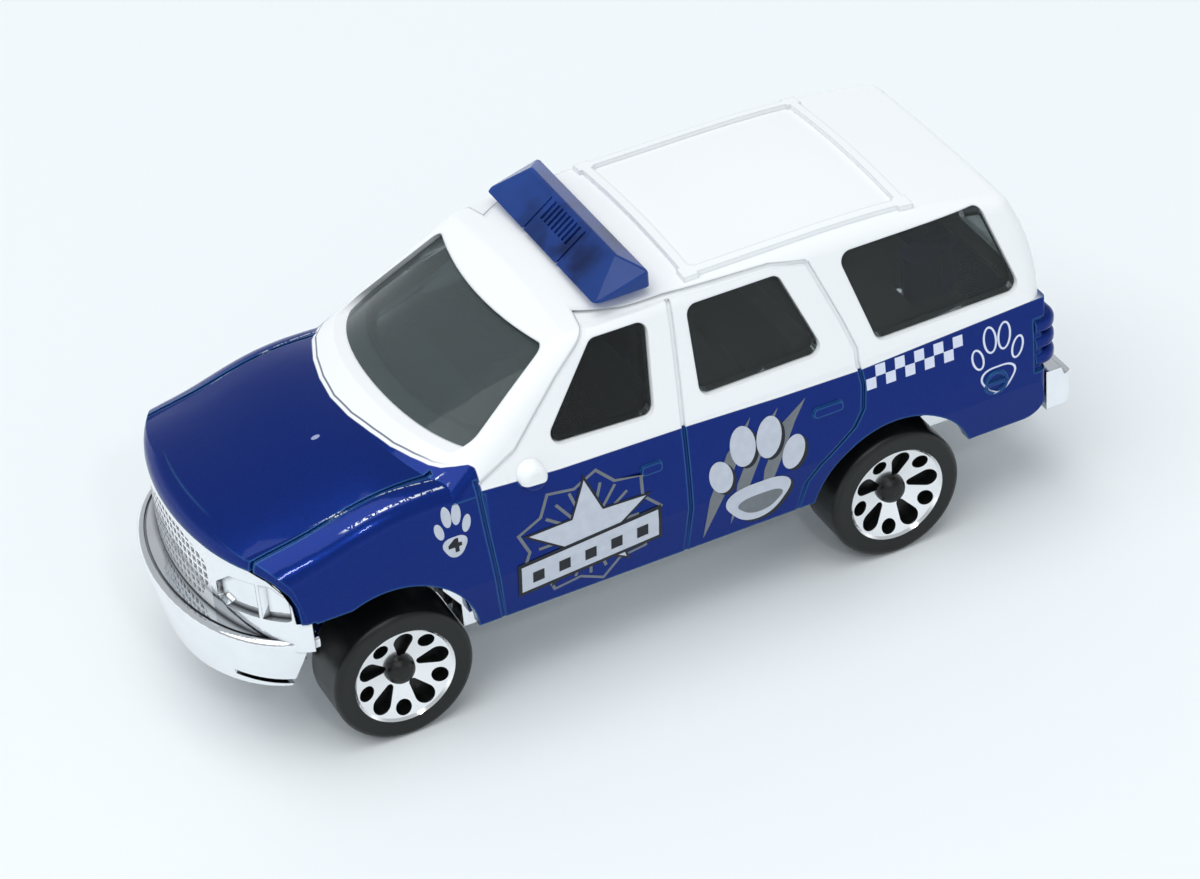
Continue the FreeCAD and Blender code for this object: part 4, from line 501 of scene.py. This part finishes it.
def plain_mesh(holder):
    """What an object comes to with its modifiers, as a mesh; the object goes."""
    scene.collection.objects.link(holder)
    bpy.context.view_layer.update()
    mesh = bpy.data.meshes.new_from_object(holder.evaluated_get(bpy.context.evaluated_depsgraph_get()))
    bpy.data.objects.remove(holder)
    return mesh


def outlined(loops):
    """A flat shape from closed outlines, where an outline inside another is a hole."""
    curve = bpy.data.curves.new("outline", "CURVE")
    curve.dimensions = "2D"
    curve.fill_mode = "BOTH"
    for loop in loops:
        spline = curve.splines.new("POLY")
        spline.points.add(len(loop) - 1)
        for point, (u, v) in zip(spline.points, loop):
            point.co = (u, v, 0, 1)
        spline.use_cyclic_u = True
    return in_strips(plain_mesh(bpy.data.objects.new("outline", curve)))


def repeated(name, build, ink_name, values):
    """A flat shape from a node tree that repeats one bar, with named sizes."""
    tree = bpy.data.node_groups.new(name, "GeometryNodeTree")
    sockets = {}
    for label, value in values.items():
        kind = "NodeSocketInt" if isinstance(value, int) else "NodeSocketFloat"
        sockets[label] = tree.interface.new_socket(label, in_out="INPUT", socket_type=kind).identifier
    tree.interface.new_socket("Geometry", in_out="OUTPUT", socket_type="NodeSocketGeometry")
    bars = build(tree, tree.nodes.new("NodeGroupInput").outputs)
    real = node(tree, "GeometryNodeRealizeInstances", {"Geometry": bars}).outputs[0]
    inked = node(tree, "GeometryNodeSetMaterial", {"Geometry": real, "Material": inks[ink_name]}).outputs[0]
    node(tree, "NodeGroupOutput", {"Geometry": inked})
    holder = bpy.data.objects.new(name, bpy.data.meshes.new(name))
    repeat = holder.modifiers.new(name, "NODES")
    repeat.node_group = tree
    for label, value in values.items():
        repeat[sockets[label]] = value
    return in_strips(plain_mesh(holder))


def skin_at(x, z, sign):
    """How far out the side stands there, passing over shut lines."""
    found = []
    for along in (x - GROOVE_STEP, x, x + GROOVE_STEP):
        start = Vector((along * MM, sign * PROBE_START * MM, z * MM))
        hit = skin.ray_cast(start, Vector((0, -sign, 0)))[0]
        if hit:
            found.append(abs(hit.y) / MM)
    return sorted(found)[len(found) // 2]


def print_on_sides(name, centre, layers):
    """Lay the layers of a design on both sides of the body, about a place along and up it."""
    for side, sign in (("left", 1), ("right", -1)):
        points, faces, slots = [], [], []
        for level, (ink_name, (corners, flats)) in enumerate(layers):
            low = INK_GAP + level * (INK_THICKNESS + INK_GAP)
            under, top = len(points), len(points) + len(corners)
            places = [(centre[0] - sign * u, centre[1] + v) for u, v in corners]
            skins = [skin_at(x, z, sign) for x, z in places]
            for lift in (low, low + INK_THICKNESS):
                points += [(x, sign * (out + lift), z) for (x, z), out in zip(places, skins)]
            rim = set()
            for flat in flats:
                faces += [[top + i for i in flat], [under + i for i in reversed(flat)]]
                for first, second in zip(flat, flat[1:] + flat[:1]):
                    if (second, first) in rim:
                        rim.remove((second, first))
                    else:
                        rim.add((first, second))
            for first, second in sorted(rim):
                faces.append([under + first, under + second, top + second, top + first])
            slots += [ink_names.index(ink_name)] * (len(faces) - len(slots))
        piece = mesh_object(name + "_" + side, points, faces)
        for ink_name in ink_names:
            piece.data.materials.append(inks[ink_name])
        piece.data.polygons.foreach_set("material_index", slots)
        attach(piece, "chassis")


def oval(u, v, half_u, half_v, lean):
    """An oval about a place, leaned over by degrees."""
    turn = math.radians(lean)
    loop = []
    for index in range(OVAL_POINTS):
        angle = 2 * math.pi * index / OVAL_POINTS
        across, along = half_u * math.cos(angle), half_v * math.sin(angle)
        loop.append((u + across * math.cos(turn) - along * math.sin(turn),
                     v + across * math.sin(turn) + along * math.cos(turn)))
    return loop


def pad(u, v, half_u, half_v):
    """The pad of a paw: a rounded three-lobed heel."""
    loop = []
    for index in range(PAD_POINTS):
        angle = 2 * math.pi * index / PAD_POINTS
        reach = 1 + PAD_LOBE_SHARE * math.cos(3 * angle - math.pi / 2) - PAD_HEEL_SHARE * math.sin(angle)
        loop.append((u + half_u * reach * math.cos(angle), v + half_v * reach * math.sin(angle)))
    return loop


def paw(half_wide, half_high, grow=0.0):
    """Four toes over a pad, so wide and high, each outline grown a little."""
    loops = [oval(u * half_wide, v * half_high, half_u * half_wide + grow, half_v * half_high + grow, lean)
             for u, v, half_u, half_v, lean in TOE_SHARES]
    u, v, half_u, half_v = PAD_SHARES
    return loops + [pad(u * half_wide, v * half_high, half_u * half_wide + grow, half_v * half_high + grow)]


def star(points, outer, inner, turn, stretch):
    """A star with so many points, turned by degrees and made wider by a factor."""
    loop = []
    for index in range(2 * points):
        angle = math.radians(turn + index * 180 / points)
        reach = inner if index % 2 else outer
        loop.append((stretch * reach * math.cos(angle), reach * math.sin(angle)))
    return loop


def scaled_loop(loop, factor):
    """The outline made larger or smaller about its middle."""
    return [(u * factor, v * factor) for u, v in loop]


def moved_loop(loop, du, dv):
    """The outline shifted."""
    return [(u + du, v + dv) for u, v in loop]


def bar(u, v, half_u, half_v, slant):
    """A four-sided bar whose right end stands higher by the slant."""
    return [(u - half_u, v - half_v), (u + half_u, v - half_v + slant), (u + half_u, v + half_v + slant),
            (u - half_u, v + half_v)]


# The fender's paw, with a plain number on its pad.

NUMBER_LOOP = [(0.25, -0.50), (0.25, -0.13), (0.48, -0.13), (0.48, 0.14), (0.25, 0.14), (0.25, 0.50),
               (-0.02, 0.50), (-0.52, 0.10), (-0.52, -0.13), (-0.05, -0.13), (-0.05, -0.50)]
NUMBER_SIZE = (1.15, 1.25)
NUMBER_BELOW = 1.36
number = [(NUMBER_SIZE[0] * u, NUMBER_SIZE[1] * v - NUMBER_BELOW) for u, v in NUMBER_LOOP]
print_on_sides("fender_paw", FENDER_PAW_PLACE, [
    ("silver", outlined(paw(*FENDER_PAW_SIZE))), ("black", outlined([number]))])

# The front door's burst: an outlined ring of points and a ring of rays, with a star
# and a slanting band of dark squares over them.


def ring_of_rays(tree, given):
    """One bar repeated round a circle, each pointing outward."""
    circle = node(tree, "GeometryNodeMeshCircle", {"Vertices": given["Rays"],
                                                   "Radius": given["Middle Radius"]}).outputs[0]
    ray = node(tree, "GeometryNodeMeshGrid", {"Size X": given["Length"], "Size Y": given["Width"],
                                              "Vertices X": 2, "Vertices Y": 2}).outputs["Mesh"]
    step = maths(tree, "DIVIDE", 2 * math.pi, given["Rays"])
    turn = maths(tree, "MULTIPLY", node(tree, "GeometryNodeInputIndex").outputs[0], step)
    rotation = node(tree, "ShaderNodeCombineXYZ", {2: turn}).outputs[0]
    return node(tree, "GeometryNodeInstanceOnPoints", {"Points": circle, "Instance": ray,
                                                       "Rotation": rotation}).outputs[0]


BURST_LINE_SHARE = 0.945
STAR_OUTLINE_SHARE = 1.11
SQUARES = 5
SQUARE_PITCH = 2.3
SQUARE_RISE = 0.18
FIRST_SQUARE = (-4.6, -2.61)
SQUARE_SIZE = (0.5, 0.55, 0.08)
BAND_OUTLINE = (0, -2.55, 6.35, 1.65, 1.0)
BAND_INSIDE = (0, -2.52, 6.05, 1.32, 0.95)

burst = star(points=9, outer=5.65, inner=4.6, turn=80.0, stretch=1.16)
door_star = star(points=5, outer=4.9, inner=2.05, turn=90.0, stretch=1.1)
rays = repeated("door_rays", ring_of_rays, "grey", {"Rays": 20, "Middle Radius": 2.75, "Length": 3.3,
                                                    "Width": 0.26})
squares = [bar(FIRST_SQUARE[0] + SQUARE_PITCH * k, FIRST_SQUARE[1] + SQUARE_RISE * k, *SQUARE_SIZE)
           for k in range(SQUARES)]
print_on_sides("door_star", DOOR_STAR_PLACE, [
    ("grey", outlined([burst, scaled_loop(burst, BURST_LINE_SHARE)])), ("grey", rays),
    ("black", outlined([scaled_loop(door_star, STAR_OUTLINE_SHARE)])), ("silver", outlined([door_star])),
    ("black", outlined([bar(*BAND_OUTLINE)])), ("silver", outlined([bar(*BAND_INSIDE)])),
    ("black", outlined(squares))])

# The rear door's paw, with a dark shadow, over three claw marks.

CLAWS = 3
CLAW_PITCH = 2.5
CLAW_RISE = 0.5
FIRST_CLAW_U = -3.3
CLAW_TIP_V = 5.2
PAD_SHADE = (0.2, -3.3, 2.0, 0.95)

claws = []
for k in range(CLAWS):
    u, v = FIRST_CLAW_U + CLAW_PITCH * k, CLAW_RISE * k
    claws.append([(u - 1.7, v - 5.2), (u + 0.1, v - 1.5), (u + 1.9, v + 2.4), (u + 3.0, CLAW_TIP_V),
                  (u + 0.7, v + 2.6), (u - 1.1, v - 1.2)])
large_paw = paw(*DOOR_PAW_SIZE)
print_on_sides("door_paw", DOOR_PAW_PLACE, [
    ("grey", outlined(claws)),
    ("black", outlined([moved_loop(loop, DOOR_PAW_SHADOW, -DOOR_PAW_SHADOW) for loop in large_paw])),
    ("silver", outlined(large_paw)), ("grey", outlined([pad(*PAD_SHADE)]))])

# The rear quarter's chequers, and the outlined paw round the filler cap.


def two_rows(tree, given):
    """One cell repeated along two rows that are a cell apart, in step like a chequerboard."""
    cell = node(tree, "GeometryNodeMeshGrid", {"Size X": given["Cell Width"], "Size Y": given["Cell Height"],
                                               "Vertices X": 2, "Vertices Y": 2}).outputs["Mesh"]
    pitch = maths(tree, "MULTIPLY", given["Cell Width"], 2.0)
    half_row = maths(tree, "MULTIPLY", given["Cell Width"], given["Columns"])
    half_high = maths(tree, "MULTIPLY", given["Cell Height"], 0.5)
    rows = node(tree, "GeometryNodeJoinGeometry")
    for side, shift in ((-1.0, 0.5), (1.0, 1.5)):
        start = maths(tree, "SUBTRACT", maths(tree, "MULTIPLY", given["Cell Width"], shift), half_row)
        height = maths(tree, "MULTIPLY", half_high, side)
        line = node(tree, "GeometryNodeMeshLine", {
            "Count": given["Columns"],
            "Start Location": node(tree, "ShaderNodeCombineXYZ", {0: start, 1: height}).outputs[0],
            "Offset": node(tree, "ShaderNodeCombineXYZ", {0: pitch}).outputs[0]}).outputs[0]
        placed = node(tree, "GeometryNodeInstanceOnPoints", {"Points": line, "Instance": cell}).outputs[0]
        tree.links.new(placed, rows.inputs[0])
    return rows.outputs[0]


chequers = repeated("chequer_rows", two_rows, "white", {"Columns": 5, "Cell Width": 0.9, "Cell Height": 1.04})
print_on_sides("quarter_chequers", CHEQUERS_PLACE, [("white", chequers)])
print_on_sides("quarter_paw", QUARTER_PAW_PLACE, [
    ("white", outlined(paw(*QUARTER_PAW_SIZE) + paw(*QUARTER_PAW_SIZE, -QUARTER_PAW_LINE)))])

# Light bar: one clear blue moulding on the roof, with louvres in its front face,
# held by two pegs. Its ends are painted a paler blue than its middle, as painted light.

BAR_DARK = (0.005, 0.024, 0.13, 1)
BAR_BLUE = (0.018, 0.070, 0.34, 1)
BAR_PAINTED_LIGHT = (0.022, 0.085, 0.38, 1)
SWIRLS = (0.33, 2.0)
SWIRL_RANGE = (0.33, 0.60)
RIGHT_END_Y = (4.0, -11.0)
LEFT_END_Y = (5.0, 8.0)
LEFT_END_SHARE = 0.85

blue_clear, tree, shader = finish("blue_clear", Roughness=0.12, IOR=1.4, Transmission_Weight=0.5,
                                  Specular_IOR_Level=0.25)
scaled, x, y, z = here_in_mm(tree)
swirl = ramp(tree, clouds(tree, scaled, *SWIRLS), *SWIRL_RANGE)
# Painted light: the blue is painted paler towards both ends, over a longer stretch to the right.
left_end = product(tree, ramp(tree, y, *LEFT_END_Y), LEFT_END_SHARE)
ends = maths(tree, "MAXIMUM", ramp(tree, y, *RIGHT_END_Y), left_end)
middle = blend_colours(tree, swirl, BAR_DARK, BAR_BLUE)
feed(tree, shader, Base_Color=blend_colours(tree, ends, middle, BAR_PAINTED_LIGHT))
dress("light_bar", blue_clear)

# Axles: two plain steel pins, held in the base's carriers. Their rounded heads are snapped
# inside the wheels' hubs.

STEEL_DARK = (0.35, 0.36, 0.37, 1)
STEEL_PALE = (0.52, 0.53, 0.54, 1)
STEEL_SCRATCHES = (3.0, 3.0)

steel, tree, shader = finish("steel", Metallic=1.0, Roughness=0.3)
scaled = here_in_mm(tree)[0]
scratched = blend_colours(tree, clouds(tree, scaled, *STEEL_SCRATCHES), STEEL_DARK, STEEL_PALE)
feed(tree, shader, Base_Color=scratched)
dress("axle_front", steel)
dress("axle_rear", steel)

# Wheels: hard black plastic, tyre and face in one, with bright foil pressed on the dished face.
# The foil ends at the rim and the hub, and the pockets' walls and floors stay black.

WHEEL_BLACK = (0.006, 0.007, 0.007, 1)
FOIL_COLOUR = (0.90, 0.91, 0.92, 1)
WHEEL_ROUGHNESS = (0.34, 0.14)
FOIL_RADIUS = 4.3
FOIL_HUB_RADIUS = 1.25

# The face stands so far in at the hub, comes out by its rise for each millimetre away
# from it, and counts as foil to a small depth.
HUB_RECESS = 1.0
FACE_RISE = 0.2419
FOIL_DEPTH = 0.1


def wheel_place(name):
    """The axle line's place along and up the car, and the outer face's place across it."""
    points = [v.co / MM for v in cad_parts[name].data.vertices]
    low = [min(p[axis] for p in points) for axis in range(3)]
    high = [max(p[axis] for p in points) for axis in range(3)]
    return (low[0] + high[0]) / 2, (low[2] + high[2]) / 2, high[1]


for end in ("front", "rear"):
    axle_x, axle_z, outer_y = wheel_place("wheel_%s_left" % end)
    wheel_plastic, tree, shader = finish("wheel_plastic_" + end, Specular_IOR_Level=0.35)
    scaled, x, y, z = here_in_mm(tree)
    from_axle = distance(tree, maths(tree, "SUBTRACT", x, axle_x), maths(tree, "SUBTRACT", z, axle_z))
    face_y = maths(tree, "MULTIPLY_ADD", maths(tree, "SUBTRACT", from_axle, FOIL_HUB_RADIUS), FACE_RISE,
                   outer_y - HUB_RECESS - FOIL_DEPTH)
    foil = product(tree, maths(tree, "GREATER_THAN", maths(tree, "ABSOLUTE", y), face_y),
                   maths(tree, "LESS_THAN", from_axle, FOIL_RADIUS),
                   maths(tree, "GREATER_THAN", from_axle, FOIL_HUB_RADIUS))
    feed(tree, shader, Base_Color=blend_colours(tree, foil, WHEEL_BLACK, FOIL_COLOUR), Metallic=foil,
         Roughness=between(tree, foil, *WHEEL_ROUGHNESS))
    for side in ("left", "right"):
        dress("wheel_%s_%s" % (end, side), wheel_plastic)
